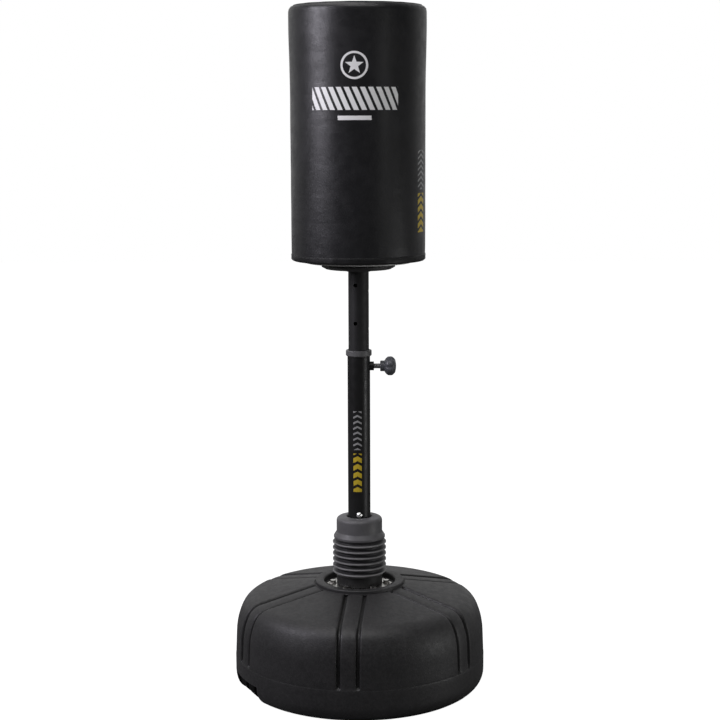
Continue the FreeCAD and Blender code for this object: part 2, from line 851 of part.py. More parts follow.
# ---------------------------------------------------------------- lock
def make_lock():
    height = cell("lock_height")
    shoulder = cell("tip_shoulder")
    tip = turned(
        "tip_turned",
        [
            (0, cell("tip_face")),
            (cell("tip_radius") - 1, cell("tip_face")),
            (cell("tip_radius"), cell("tip_face") + 1),
            (cell("tip_radius"), shoulder),
            (cell("tip_stem_radius"), shoulder),
            (cell("tip_stem_radius"), cell("tip_stem_end")),
            (0, cell("tip_stem_end")),
        ],
    )
    keep(place(tip, z=height, turn=TO_X), "lock_tip")

    socket = cell("tip_stem_radius") + cell("stem_gap")
    screw_end = cell("knob_end") - 8
    screw = turned(
        "screw_turned",
        [
            (socket, shoulder + 0.1),
            (cell("screw_radius"), shoulder + 0.1),
            (cell("screw_radius"), screw_end),
            (0, screw_end),
            (0, cell("tip_stem_end") + 0.2),
            (socket, cell("tip_stem_end") + 0.2),
        ],
    )
    keep(place(screw, z=height, turn=TO_X), "lock_screw")

    neck, radius = cell("knob_neck_radius"), cell("knob_radius")
    head = turned(
        "knob_turned",
        [
            (cell("screw_radius"), cell("knob_neck_face")),
            (neck - 1, cell("knob_neck_face")),
            (neck, cell("knob_neck_face") + 1),
            (neck, cell("knob_head_face") - 1),
            (neck + 0.6, cell("knob_head_face")),
            (radius - 1.5, cell("knob_shoulder")),
            (radius, cell("knob_shoulder") + 3.5),
            (radius, cell("knob_widest")),
            (cell("knob_crown_radius"), cell("knob_crown"), 4),
            (cell("knob_crown_radius") - 2, cell("knob_end")),
            (0, cell("knob_end")),
            (0, screw_end),
            (cell("screw_radius"), screw_end),
        ],
    )
    flutes = []
    for i in range(KNOB_FLUTES):
        x, y = polar(size(i * 360 / KNOB_FLUTES), cell("knob_flute_circle"))
        flutes.append(cylinder(f"flute_{i}", cell("knob_flute_radius"), 40, x, y, cell("knob_head_face") - 2))
    keep(place(cut("knob_fluted", head, *flutes), z=height, turn=TO_X), "lock_knob")


# ---------------------------------------------------------------- upper tube
def make_upper_tube():
    outside = cell("upper_tube_radius")
    inside = outside - cell("tube_wall")
    foot, top = cell("upper_tube_foot"), cell("upper_tube_top")
    tube = turned("upper_tube_turned", ring(foot, top, inside, outside))
    holes = []
    for step in LOCK_HOLE_STEPS:
        level = cell("lock_height") + cell("hole_pitch") * step
        holes.append(cylinder(f"lock_hole_{step + 1}", cell("hole_radius"), 20, 12, 0, level, TO_X))
    angle = cell("front_hole_angle")
    outward = FreeCAD.Rotation(UP, angle.value) * TO_X
    for step in range(4):
        x, y = polar(angle, size(12))
        level = cell("front_hole_height") - cell("hole_pitch") * step
        holes.append(cylinder(f"front_hole_{step}", cell("hole_radius"), 20, x, y, level, outward))
    keep(cut("upper_tube_drilled", tube, *holes), "upper_tube")

    guide = cell("lower_tube_radius") - cell("tube_wall") - cell("sliding_gap")
    height = cell("guide_foot_height")
    foot_plug = turned(
        "guide_foot_turned",
        [
            (15, foot - 4),
            (guide - 1, foot - 4),
            (guide, foot - 3),
            (guide, foot),
            (inside, foot),
            (inside, foot + height),
            (15, foot + height),
        ],
    )
    keep(foot_plug, "guide_foot")

    cap = turned(
        "top_cap_turned",
        [
            (inside - 3, top - 15),
            (inside, top - 15),
            (inside, top),
            (outside, top),
            (outside, top + 1, 4),
            (outside - 4, top + 5),
            (0, top + 5),
            (0, top + 2),
            (inside - 3, top + 2),
        ],
    )
    keep(cap, "tube_top_cap")

    low, wall = cell("dish_low"), cell("dish_wall")
    radius = cell("dish_radius")
    dish = turned(
        "dish_turned",
        [
            (outside, low - 6),
            (outside + 4, low - 6),
            (outside + 7, low),
            (cell("dish_foot_radius"), low),
            (radius, cell("dish_bend_height")),
            (radius, cell("dish_rim")),
            (radius - wall, cell("dish_rim")),
            (radius - wall, cell("dish_bend_height") + 1),
            (cell("dish_foot_radius") - 1, low + wall),
            (outside, low + wall),
        ],
    )
    keep(dish, "support_dish")

    gap = cell("slip_gap")
    washer = ring(low + wall + gap, cell("slip_washer_top"), outside + 0.4, cell("slip_washer_radius"))
    keep(turned("slip_washer_turned", washer), "slip_washer")


# ---------------------------------------------------------------- bag
def bag_outline(inset, low):
    """The bag's outer half section from foot to crown, drawn in by inset, with its head flared a little."""
    inset = size(inset)
    radius, head = cell("bag_radius") - inset, cell("bag_head_radius") - inset
    top = cell("bag_top") - inset
    bend = cell("bag_top_round") - inset
    return [
        (cell("bag_foot_radius") - inset, low),
        (cell("bag_foot_radius") - inset, cell("hem_top") - 1),
        (radius, cell("hem_top") + 4),
        (radius, cell("bag_flare_low")),
        (head, cell("bag_flare_high")),
        (head, top - bend, bend),
        (head - bend, top),
        (0, top),
    ]


def make_bag():
    disc_low, disc_high = cell("bottom_disc_low"), cell("bottom_disc_high")
    bore = cell("core_bore_radius")
    core = bore + cell("core_wall")
    circle, screw = cell("flange_screw_circle"), cell("flange_screw_radius")
    flange_top = disc_high + cell("core_flange_thick")
    gap = cell("soft_gap")

    def flange_cylinders(name, radius, low, high):
        members = []
        for i in range(4):
            x, y = polar(size(45 + 90 * i), circle)
            members.append(cylinder(f"{name}_{i}", radius, size(high) - low, x, y, low))
        return members

    disc = turned("bottom_disc_turned", ring(disc_low, disc_high, bore, cell("bottom_disc_radius")))
    recess_top = disc_low + 3
    sinks = flange_cylinders("screw_sink", cell("flange_screw_head"), disc_low - 1, recess_top)
    ways = flange_cylinders("screw_way", screw, disc_low, disc_high + 1)
    keep(cut("bottom_disc_drilled", disc, *sinks, *ways), "bottom_disc")

    tube = turned(
        "core_turned",
        [
            (bore, disc_high),
            (cell("core_flange_radius"), disc_high),
            (cell("core_flange_radius"), flange_top),
            (core, flange_top),
            (core, cell("core_top")),
            (bore, cell("core_top")),
        ],
    )
    ways = flange_cylinders("core_way", screw, disc_high - 1, flange_top + 1)
    keep(cut("core_drilled", tube, *ways), "core_tube")

    heads = flange_cylinders("screw_head", cell("flange_screw_head") - 0.3, disc_low + 0.3, recess_top)
    shanks = flange_cylinders("screw_shank", screw, recess_top - 0.5, flange_top - 0.2)
    screws = [fuse(f"flange_screw_{i}", *pair) for i, pair in enumerate(zip(heads, shanks))]
    keep(group("flange_screw_set", screws), "flange_screws")

    foam_radius = cell("cover_wall") + gap
    foam_top = cell("foam_top")
    clear = cell("core_flange_radius") + gap
    foam_low = cell("bag_low") + cell("cover_wall") + gap
    foam = turned(
        "foam_turned",
        [
            (core + gap, flange_top + gap),
            (clear, flange_top + gap),
            (clear, foam_low),
            (cell("bag_foot_radius") - foam_radius, foam_low),
            (cell("bag_radius") - foam_radius, cell("hem_top") + 4),
            (cell("bag_radius") - foam_radius, cell("bag_flare_low")),
            (cell("bag_head_radius") - foam_radius, cell("bag_flare_high")),
            (cell("bag_head_radius") - foam_radius, foam_top),
            (core + gap, foam_top),
        ],
    )
    keep(foam, "foam_core")

    board_low = foam_top + gap
    board_top = board_low + cell("board_thick")
    board = cell("board_radius")
    keep(turned("top_board_turned", ring(board_low, board_top, 0, board)), "top_board")
    pad_top = cell("bag_top") - cell("cover_wall") - gap
    pad = turned(
        "top_pad_turned",
        [
            (0, board_top + gap),
            (board - 4, board_top + gap),
            (board - 4, pad_top - 10, 10),
            (board - 14, pad_top),
            (0, pad_top),
        ],
    )
    keep(pad, "top_pad")

    low = cell("bag_low")
    wall = cell("cover_wall")
    outside = bag_outline(0, low)
    inside = list(reversed(bag_outline(wall, low + wall)))
    # the reversed inner outline runs the crown's arc the other way, so its radius moves to the corner before
    bend = cell("bag_top_round") - wall
    inside[1] = (inside[1][0], inside[1][1], -bend)
    inside[2] = inside[2][:2]
    lip = [(cell("cover_lip_radius"), low + wall), (cell("cover_lip_radius"), low)]
    keep(turned("cover_turned", outside + inside + lip), "bag_cover")

    band_inner = cell("bag_foot_radius") + 0.02
    band = turned(
        "hem_turned",
        [
            (band_inner, low),
            (band_inner + cell("hem_thick") * 0.6, low),
            (band_inner + cell("hem_thick"), low + 3),
            (band_inner + cell("hem_thick"), cell("hem_top") - 4),
            (band_inner + cell("hem_thick") * 0.6, cell("hem_top") - 1),
            (band_inner, cell("hem_top") - 1),
        ],
    )
    keep(band, "hem_band")


def check_model():
    """Stops on any object that failed to compute and any sub-part that isn't a valid solid."""
    for thing in doc.Objects:
        if {"Invalid", "Error"} & set(thing.State):
            raise RuntimeError(f"{thing.Name} failed: {thing.State}")
    for thing in finished:
        if thing.Shape.isNull() or not thing.Shape.isValid() or not thing.Shape.Solids:
            raise RuntimeError(f"{thing.Label} has no valid solid")


make_tank()
make_water()
make_filler_plug()
make_wheels()
spring_seat = make_plate()
make_spring(spring_seat)
make_bellows()
make_post()
make_lock()
make_upper_tube()
make_bag()
doc.recompute()
check_model()

os.makedirs("parts", exist_ok=True)
for thing in finished:
    thing.Shape.exportStep(f"parts/{thing.Label}.step")
    print(f"{thing.Label:16s} solids {len(thing.Shape.Solids):2d}  volume {thing.Shape.Volume / 1000:10.2f} cm3")
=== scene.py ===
import math

import bpy
from mathutils import Matrix, Vector, noise


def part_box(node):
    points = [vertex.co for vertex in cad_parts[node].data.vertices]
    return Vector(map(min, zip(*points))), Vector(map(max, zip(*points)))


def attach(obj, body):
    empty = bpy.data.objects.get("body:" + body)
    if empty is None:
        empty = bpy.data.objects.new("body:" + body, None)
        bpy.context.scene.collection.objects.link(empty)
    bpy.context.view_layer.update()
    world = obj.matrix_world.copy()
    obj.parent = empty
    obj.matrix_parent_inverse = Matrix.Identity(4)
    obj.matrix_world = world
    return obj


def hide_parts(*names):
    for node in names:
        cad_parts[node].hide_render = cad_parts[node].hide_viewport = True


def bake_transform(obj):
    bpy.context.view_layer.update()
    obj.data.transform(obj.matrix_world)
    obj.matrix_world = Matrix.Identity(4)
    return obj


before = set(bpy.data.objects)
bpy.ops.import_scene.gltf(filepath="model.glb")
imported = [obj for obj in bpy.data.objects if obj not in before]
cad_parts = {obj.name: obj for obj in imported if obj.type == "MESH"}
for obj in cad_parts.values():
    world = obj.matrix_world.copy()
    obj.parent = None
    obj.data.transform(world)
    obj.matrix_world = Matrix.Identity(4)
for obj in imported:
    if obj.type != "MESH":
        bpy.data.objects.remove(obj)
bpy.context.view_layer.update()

# A free-standing punch bag, in the CAD model's frame: the front is at -Y and the lock knob at +X. The named
# sizes below and the half sections are in millimetres. Meshes and materials are in metres.
MM = 0.001

# tank: a channel is a shallow strap with a slot along each side, given as (distance aside, depth)
TANK_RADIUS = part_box("base_tank")[1].x / MM
CHANNELS = 6
CHANNEL_ANGLE = 24.8
CHANNEL_DEPTHS = (
    (0, 1.2), (6, 1.3), (12, 1.6), (15.4, 2.0), (16.8, 2.8), (17.9, 4.2), (18.9, 5.8), (20.2, 6.4),
    (22.4, 6.4), (23.7, 5.6), (24.8, 3.6), (25.8, 1.7), (27, 0.6), (28.6, 0.1), (30, 0),
)
SLOT_OFFSET = 21.3
PANEL_COLUMNS = 12
EDGE_ROUND = 38.0
SKIRT_TOP = 78.0
SKIRT_STEP = 0.8
SHOULDER_LOW, SHOULDER_MIDDLE, SHOULDER_HIGH = (282.3, 130), (269.15, 183.9), (237, 209.2)
RING_RADIUS = 101.0
RING_BORE = 81.0
RING_TOP = 243.0
WELL_FLOOR = 228.5
WELL_BORE = 60.0
WHEEL_ANGLE = math.radians(204.8)
WHEEL_DISTANCE = 250.0
WHEEL_HEIGHT = 36.0
WHEEL_ROOM = 31.0
NOTCH_NEAR, NOTCH_HALF, NOTCH_HIGH = 216, 60, 45
FILLER_OUTER, FILLER_INNER, FILLER_FOOT = 22, 15, 206
# bellows and spring, which both bend about the same level
FLEX_HEIGHT = 292.0
BELLOWS_LOW, BELLOWS_HIGH = (corner.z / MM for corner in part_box("bellows"))
SPRING_LOW, SPRING_HIGH = (corner.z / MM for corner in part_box("coil_spring"))
SPRING_TURNS = 7
SPRING_RADIUS = 34.0
SPRING_WIRE = 4.5
RIBS = 6
FIRST_RIB = 264.7
RIB_PITCH = 13.4
RIB_CREST, RIB_VALLEY = 61.0, 53.4
BELLOWS_BORE = 49.8
BELLOWS_MOUTH = 28.0
BEND_LOW, BEND_HIGH = 262, 340
# lock screw and knob
THREAD_PITCH = 1.75
THREAD_DEPTH = 0.6
KNOB_LOBES = 6
LOBE_DEPTH = 2.3
KNOB_RIBS = 24
RIB_DEPTH = 0.35
# bag
BAG_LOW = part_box("bag_cover")[0].z / MM
BAG_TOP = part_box("bag_cover")[1].z / MM
BAG_RADIUS = 148.2
BAG_HEAD_RADIUS = 150.9
BAG_ROUND = 16.0
BAG_COLUMNS = 168
SEAM_ANGLE = math.radians(70)
HEM_TOP = 991.5
STITCH_PITCH = 4.6
# the emblem and the two-tone columns of chevrons
EMBLEM_MIDDLE = -7.0
BADGE_HEIGHT = 1397.5
BADGE_INNER, BADGE_OUTER = 24.5, 29.2
STAR_TIP, STAR_NOTCH = 20.5, 8.2
BAR_PITCH = 17.2
BAND_LOW, BAND_HIGH, BAND_HALF = 1304.5, 1352.5, 98.0
LINE_LOW, LINE_HIGH, LINE_HALF = 1283.5, 1292.5, 36.0
BAG_PRINT_ANGLE = math.radians(67.5)
GREY_INK = (0.33, 0.33, 0.33)
YELLOW_INK = (0.62, 0.45, 0.03)
WHITE_INK = (0.86, 0.86, 0.86)
PRINT_ROUGHNESS = 0.45
# studio
ROOM_FRONT, ROOM_BACK = 0.028, 0.6
FLOOR_GLOW = 1.0
FLOOR_SHADE, FLOOR_BOUNCE = 0.22, 0.17
CAMERA_AT = (0.0046, -3.5567, 1.2834)
CAMERA_TILT, CAMERA_ROLL = math.radians(81.47), math.radians(0.2)


# ---------- shapes
def arc(first, last, bend, count):
    """Points along an anticlockwise arc of radius bend, after first and up to last."""
    first, last = Vector(first), Vector(last)
    chord = last - first
    left = Vector((-chord.y, chord.x)).normalized()
    centre = (first + last) / 2 + left * math.sqrt(bend * bend - chord.length_squared / 4)
    start = math.atan2(first.y - centre.y, first.x - centre.x)
    sweep = 2 * math.asin(chord.length / 2 / bend)
    angles = [start + sweep * k / count for k in range(1, count + 1)]
    return [(centre.x + bend * math.cos(a), centre.y + bend * math.sin(a)) for a in angles]


def rounded(corners, step=math.radians(15)):
    """A line through corners (x, y, bend), with each corner but the ends rounded by its bend."""
    line = []
    for i, (x, y, bend) in enumerate(corners):
        corner = Vector((x, y))
        if bend == 0 or i in (0, len(corners) - 1):
            line.append((x, y))
            continue
        back = (Vector(corners[i - 1][:2]) - corner).normalized()
        ahead = (Vector(corners[i + 1][:2]) - corner).normalized()
        half = back.angle(ahead) / 2
        centre = corner + (back + ahead).normalized() * bend / math.sin(half)
        start = corner + back * bend / math.tan(half) - centre
        end = corner + ahead * bend / math.tan(half) - centre
        turn = math.pi - 2 * half
        count = max(2, round(turn / step))
        for k in range(count + 1):
            share = k / count
            point = start * math.sin((1 - share) * turn) + end * math.sin(share * turn)
            line.append(tuple(centre + point / math.sin(turn)))
    return line


def between(first, last, count):
    """Points after first and up to last, evenly spaced."""
    shares = [k / count for k in range(1, count + 1)]
    return [tuple(a + (b - a) * s for a, b in zip(first, last)) for s in shares]


def ease(value, low, high):
    """0 below low, 1 above high, and a smooth rise between."""
    share = min(1.0, max(0.0, (value - low) / (high - low)))
    return share * share * (3 - 2 * share)


def soften(mesh, sharp):
    mesh.shade_smooth()
    mesh.set_sharp_from_angle(angle=math.radians(sharp))


def piece(name, points, faces, surface, sharp=38):
    mesh = bpy.data.meshes.new(name)
    mesh.from_pydata([tuple(p) for p in points], [], faces)
    mesh.update()
    mesh.materials.append(surface.material)
    soften(mesh, sharp)
    thing = bpy.data.objects.new(name, mesh)
    bpy.context.scene.collection.objects.link(thing)
    return thing


def skin(name, rings, surface, loop=False, sharp=38):
    """A mesh through rings of points. A ring of one point closes an end; loop joins the last to the first."""
    points, starts = [], []
    for ring in rings:
        starts.append(len(points))
        points.extend(ring)
    faces = []
    for a in range(len(rings) if loop else len(rings) - 1):
        b = (a + 1) % len(rings)
        n, m = len(rings[a]), len(rings[b])
        for j in range(max(n, m)):
            k = (j + 1) % max(n, m)
            corners = [starts[a] + j % n, starts[a] + k % n, starts[b] + k % m, starts[b] + j % m]
            faces.append(list(dict.fromkeys(corners)))
    return piece(name, points, faces, surface, sharp)


def circle_angles(count):
    """Evenly spaced angles round a circle."""
    return [math.tau * j / count for j in range(count)]


def polar(radius, angle, height=0.0):
    """The point at a radius, an angle round the z axis, and a height."""
    return Vector((radius * math.cos(angle), radius * math.sin(angle), height))


def turned_rings(section, columns):
    """Rings of points for a half section of (radius, height) in millimetres."""
    rings = []
    for radius, height in section:
        angles = circle_angles(columns) if radius > 0.001 else [0]
        rings.append([polar(radius, a, height) * MM for a in angles])
    return rings


def lathe(name, section, columns, surface, loop=False, sharp=38):
    return skin(name, turned_rings(section, columns), surface, loop, sharp)


def tube(name, line, radius, surface, closed=False):
    """A round tube along a line of points, all in metres."""
    rings = []
    for i, point in enumerate(line):
        ahead = line[(i + 1) % len(line)] if closed or i + 1 < len(line) else point
        behind = line[i - 1] if closed or i else point
        along = (ahead - behind).normalized()
        side = along.cross(Vector((0, 0, 1))).normalized()
        up = side.cross(along)
        spokes = [side * math.cos(a) + up * math.sin(a) for a in circle_angles(12)]
        rings.append([point + spoke * radius for spoke in spokes])
    if not closed:
        rings = [[line[0]]] + rings + [[line[-1]]]
    return skin(name, rings, surface, loop=closed, sharp=60)


def stitches(name, places, surface):
    """Short stitches, each given as (point, along, outward), all in one mesh."""
    length, thick = 3.4, 0.55
    points, faces = [], []
    for middle, along, outward in places:
        along = along.normalized() * length * MM / 2
        outward = outward.normalized()
        side = along.cross(outward).normalized() * thick * MM
        start = len(points)
        lift = outward * thick * MM
        for share, size in ((-1, 0.35), (-0.55, 1), (0.55, 1), (1, 0.35)):
            base = middle + along * share
            points += [base - side * size, base + lift * size, base + side * size]
        for k in range(3):
            low, high = start + 3 * k, start + 3 * k + 3
            faces += [[low, low + 1, high + 1, high], [low + 1, low + 2, high + 2, high + 1]]
    return piece(name, points, faces, surface, sharp=80)


def circle_stitches(radius, height, tilt=0.0):
    """Places for stitches round a circle, in millimetres; the tilt turns them up from level."""
    count = round(math.tau * radius / STITCH_PITCH)
    places = []
    for a in circle_angles(count):
        along = polar(1, a + math.pi / 2)
        places.append((polar(radius, a, height) * MM, along, polar(math.cos(tilt), a, math.sin(tilt))))
    return places


def thicken(thing, wall):
    """Gives a sheet a wall of this many millimetres, on its inner side."""
    modifier = thing.modifiers.new("wall", "SOLIDIFY")
    modifier.thickness = wall * MM
    modifier.offset = -1


def cut_away(target, cutter, operation="DIFFERENCE"):
    """Applies a boolean with cutter to target's mesh, and removes cutter."""
    modifier = target.modifiers.new("cut", "BOOLEAN")
    modifier.operation = operation
    modifier.solver = "EXACT"
    modifier.object = cutter
    graph = bpy.context.evaluated_depsgraph_get()
    mesh = bpy.data.meshes.new_from_object(target.evaluated_get(graph))
    target.modifiers.remove(modifier)
    target.data = mesh
    bpy.data.objects.remove(cutter)


# ---------- materials
class Surface:
    """A procedural material, with short names for the nodes that its finish is made of."""

    def __init__(self, name, metallic=0.0, specular=0.5, coat=0.0, coat_roughness=0.2, sheen=0.0):
        self.material = bpy.data.materials.new(name)
        self.material.use_nodes = True
        self.tree = self.material.node_tree
        self.tree.nodes.clear()
        self.shader = self.node("ShaderNodeBsdfPrincipled")
        for key, value in (
            ("Metallic", metallic), ("Specular IOR Level", specular), ("Coat Weight", coat),
            ("Coat Roughness", coat_roughness), ("Sheen Weight", sheen),
        ):
            self.shader.inputs[key].default_value = value
        self.put(self.shader.outputs[0], self.node("ShaderNodeOutputMaterial").inputs[0])
        self.place = self.node("ShaderNodeTexCoord").outputs["Object"]
        self.normal = None

    def node(self, kind, **settings):
        made = self.tree.nodes.new(kind)
        for key, value in settings.items():
            setattr(made, key, value)
        return made

    def put(self, value, socket):
        """Links a socket, or sets a plain value."""
        if isinstance(value, bpy.types.NodeSocket):
            self.tree.links.new(value, socket)
        elif isinstance(value, tuple) and len(value) == 3 and socket.type == "RGBA":
            socket.default_value = (*value, 1)
        else:
            socket.default_value = value

    def stretched(self, scale):
        mapping = self.node("ShaderNodeMapping")
        self.put(self.place, mapping.inputs["Vector"])
        mapping.inputs["Scale"].default_value = scale
        return mapping.outputs[0]

    def noise(self, scale, detail=3.0, rough=0.5, stretch=None, warp=0.0):
        made = self.node("ShaderNodeTexNoise")
        self.put(self.stretched(stretch) if stretch else self.place, made.inputs["Vector"])
        made.inputs["Scale"].default_value = scale
        made.inputs["Detail"].default_value = detail
        made.inputs["Roughness"].default_value = rough
        made.inputs["Distortion"].default_value = warp
        return made.outputs["Fac"]

    def cells(self, scale, random=1.0):
        made = self.node("ShaderNodeTexVoronoi", feature="F1")
        self.put(self.place, made.inputs["Vector"])
        made.inputs["Scale"].default_value = scale
        made.inputs["Randomness"].default_value = random
        return made.outputs["Distance"]

    def math(self, operation, first, second=0.0, third=0.0):
        made = self.node("ShaderNodeMath", operation=operation)
        for i, value in enumerate((first, second, third)):
            self.put(value, made.inputs[i])
        return made.outputs[0]

    def both(self, first, second):
        return self.math("MULTIPLY", first, second)

    def either(self, first, second):
        return self.math("MAXIMUM", first, second)

    def ramp(self, value, low, high, out_low=0.0, out_high=1.0):
        """A smooth change from out_low at low to out_high at high."""
        made = self.node("ShaderNodeMapRange", interpolation_type="SMOOTHSTEP")
        for i, number in enumerate((value, low, high, out_low, out_high)):
            self.put(number, made.inputs[i])
        return made.outputs[0]

    def within(self, value, low, high, edge=0.0002):
        """1 between low and high, and 0 outside."""
        rise = self.ramp(value, low - edge, low + edge)
        fall = self.ramp(value, high - edge, high + edge, 1.0, 0.0)
        return self.both(rise, fall)

    def mix(self, share, first, second):
        made = self.node("ShaderNodeMix", data_type="RGBA")
        self.put(share, made.inputs[0])
        self.put(first, made.inputs[6])
        self.put(second, made.inputs[7])
        return made.outputs[2]

    def axes(self):
        """The separate x, y and z of the place."""
        made = self.node("ShaderNodeSeparateXYZ")
        self.put(self.place, made.inputs[0])
        return made.outputs

    def reach(self, first, second):
        """How far a place is from the origin, with these two as its coordinates."""
        squares = self.math("ADD", self.math("POWER", first, 2.0), self.math("POWER", second, 2.0))
        return self.math("SQRT", squares)

    def edges(self, radius):
        """1 along sharp outer and inner edges, and 0 on open faces."""
        bevel = self.node("ShaderNodeBevel", samples=4)
        bevel.inputs["Radius"].default_value = radius
        facing = self.node("ShaderNodeVectorMath", operation="DOT_PRODUCT")
        self.put(bevel.outputs[0], facing.inputs[0])
        self.put(self.node("ShaderNodeNewGeometry").outputs["Normal"], facing.inputs[1])
        return self.ramp(self.math("SUBTRACT", 1.0, facing.outputs["Value"]), 0.02, 0.25)

    def colour(self, value):
        self.put(value, self.shader.inputs["Base Color"])

    def rough(self, value):
        self.put(value, self.shader.inputs["Roughness"])

    def bump(self, height, depth, strength=1.0):
        """Adds relief of a depth in metres on top of what is there."""
        made = self.node("ShaderNodeBump")
        made.inputs["Strength"].default_value = strength
        made.inputs["Distance"].default_value = depth
        self.put(height, made.inputs["Height"])
        if self.normal:
            self.put(self.normal, made.inputs["Normal"])
        self.normal = made.outputs[0]
        self.put(self.normal, self.shader.inputs["Normal"])

    def patchy(self, dark, light, rough, patch=14.0, grain=900.0, depth=0.00003):
        """The common part: colour and roughness that drift in patches, and a fine grain."""
        self.tone = self.mix(self.ramp(self.noise(patch, 5.0, 0.6), 0.3, 0.7), dark, light)
        self.colour(self.tone)
        self.gloss = self.ramp(self.noise(patch * 5, 4.0, 0.6), 0.3, 0.7, *rough)
        self.rough(self.gloss)
        self.bump(self.noise(grain, 2.0, 0.5), depth)
        return self


def grey(level):
    return (level, level, level)


def moulded_plastic(name, dark, light, rough, pebble, pebble_depth=0.00012, specular=0.5):
    """Moulded plastic with a pebbled face and small pale knocks."""
    made = Surface(name, specular=specular).patchy(dark, light, rough, grain=2200, depth=0.00003)
    knocks = made.ramp(made.noise(60, 6.0, 0.7, warp=0.6), 0.62, 0.74)
    made.colour(made.mix(knocks, made.tone, tuple(c * 1.6 + 0.004 for c in light)))
    made.bump(made.cells(pebble), pebble_depth, 0.7)
    return made


def tank_plastic():
    """The tank's skin: coarse pebble, mottled patches, and painted shade in the slots and the skirt's step.
    """
    dark, light = (0.0165, 0.0163, 0.017), (0.024, 0.0236, 0.0243)
    made = moulded_plastic("tank_plastic", dark, light, (0.46, 0.56), 520, 0.00022)
    made.bump(made.noise(190, 4.0, 0.65), 0.0004, 0.6)
    mottle = made.ramp(made.noise(120, 3.0, 0.7), 0.42, 0.6, 0.0, 0.5)
    made.tone = made.mix(mottle, made.tone, (0.034, 0.0335, 0.034))
    x, y, z = made.axes()
    # painted shade: the walls of each slot are darkened where the groove falls into shadow
    slots = 0.0
    for i in range(CHANNELS // 2):
        a = math.radians(CHANNEL_ANGLE + 360 / CHANNELS * i)
        from_line = made.math("MULTIPLY_ADD", x, math.sin(a), made.both(y, -math.cos(a)))
        from_slot = made.math("SUBTRACT", made.math("ABSOLUTE", from_line), SLOT_OFFSET * MM)
        slot = made.ramp(made.math("ABSOLUTE", from_slot), 0.0028, 0.0062, 0.92, 0.0)
        slots = made.either(slots, slot)
    above = made.within(z, (SKIRT_TOP - 1) * MM, 0.24)
    outside = made.ramp(made.reach(x, y), (RING_RADIUS + 1.5) * MM, (RING_RADIUS + 3.5) * MM)
    painted_slot_shade = made.both(made.both(slots, above), outside)
    # painted shade: a dark line along the skirt's step, where it falls into shadow
    step = made.within(z, (SKIRT_TOP - 1) * MM, (SKIRT_TOP + 0.6) * MM, 0.0008)
    made.colour(made.mix(made.either(painted_slot_shade, made.both(step, 0.45)), made.tone, grey(0.003)))
    return made


def powder_coat(name, dark=0.007, light=0.012, rough=(0.36, 0.46)):
    """Black powder coat: orange peel, and bare steel where edges are worn."""
    made = Surface(name, specular=0.42).patchy(grey(dark), grey(light), rough)
    made.bump(made.noise(420, 2.0, 0.5), 0.00006)
    worn = made.both(made.edges(0.0006), made.ramp(made.noise(90, 5.0, 0.7), 0.5, 0.62))
    made.tone = made.mix(worn, made.tone, (0.11, 0.108, 0.105))
    made.colour(made.tone)
    return made


def plated_steel(name, dark, light, rough, spangle=90.0, metallic=1.0):
    """Plated steel: faint crystal patches and fine rolling lines."""
    made = Surface(name, metallic=metallic).patchy(dark, light, rough, patch=40, grain=1500, depth=0.00001)
    flakes = made.ramp(made.cells(spangle), 0.1, 0.6)
    made.tone = made.mix(made.both(flakes, 0.35), made.tone, tuple(c * 0.75 for c in dark))
    made.colour(made.tone)
    made.bump(made.noise(300, 3.0, 0.6, stretch=(1, 12, 1)), 0.00001)
    return made


def stripe_mask(surface, across, up, middle, half, low, high, count, share, slope):
    """A column of chevron bars between low and high, each filling share of its pitch."""
    off = surface.math("ABSOLUTE", surface.math("SUBTRACT", across, middle))
    pitch = (high - low) / count
    climb = surface.math("MULTIPLY_ADD", off, slope / pitch, surface.math("DIVIDE", up, pitch))
    phase = surface.math("FRACT", surface.math("SUBTRACT", climb, low / pitch))
    bar = surface.within(phase, 0.04, 0.04 + share, edge=0.0002 / pitch)
    inside = surface.both(surface.within(off, -1.0, half), surface.within(up, low, high))
    return surface.both(bar, inside)


def printed(surface, mask, ink):
    """Screen print: ink over the surface's colour, a little duller and raised."""
    worn = surface.both(mask, surface.ramp(surface.noise(500, 4.0, 0.6), 0.2, 0.34, 0.82, 1.0))
    surface.tone = surface.mix(worn, surface.tone, ink)
    surface.colour(surface.tone)
    surface.gloss = surface.ramp(mask, 0.0, 1.0, surface.gloss, PRINT_ROUGHNESS)
    surface.rough(surface.gloss)
    surface.bump(mask, 0.00008, 0.6)


def side_print(surface, across, up, middle, half, low, high):
    """The two-tone column of chevrons, in millimetres: thin grey bars above and broad yellow bars below."""
    middle, half, low, high = (size * MM for size in (middle, half, low, high))
    split, gap, slope = (low + high) / 2, 0.004, 0.55
    above = stripe_mask(surface, across, up, middle, half, split + gap, high, 7, 0.34, slope)
    below = stripe_mask(surface, across, up, middle, half, low, split - gap, 5, 0.62, slope)
    printed(surface, above, GREY_INK)
    printed(surface, below, YELLOW_INK)


def leather(name, dark, light, rough, specular=0.5):
    """Coated leather: fine pebble grain, slow waves and creases."""
    made = Surface(name, specular=specular, coat=0.06, coat_roughness=0.3)
    made.patchy(dark, light, rough, patch=9, grain=1600, depth=0.00003)
    made.bump(made.cells(620, random=0.9), 0.00007, 0.7)
    made.bump(made.noise(9, 3.0, 0.5, stretch=(1, 1, 2.6)), 0.0022, 0.5)
    made.bump(made.noise(34, 4.0, 0.6, stretch=(0.6, 0.6, 2.2), warp=0.4), 0.0006, 0.4)
    creases = made.ramp(made.noise(46, 6.0, 0.7, stretch=(1, 1, 1.8), warp=1.2), 0.56, 0.7)
    made.bump(creases, 0.0002, 0.35)
    return made


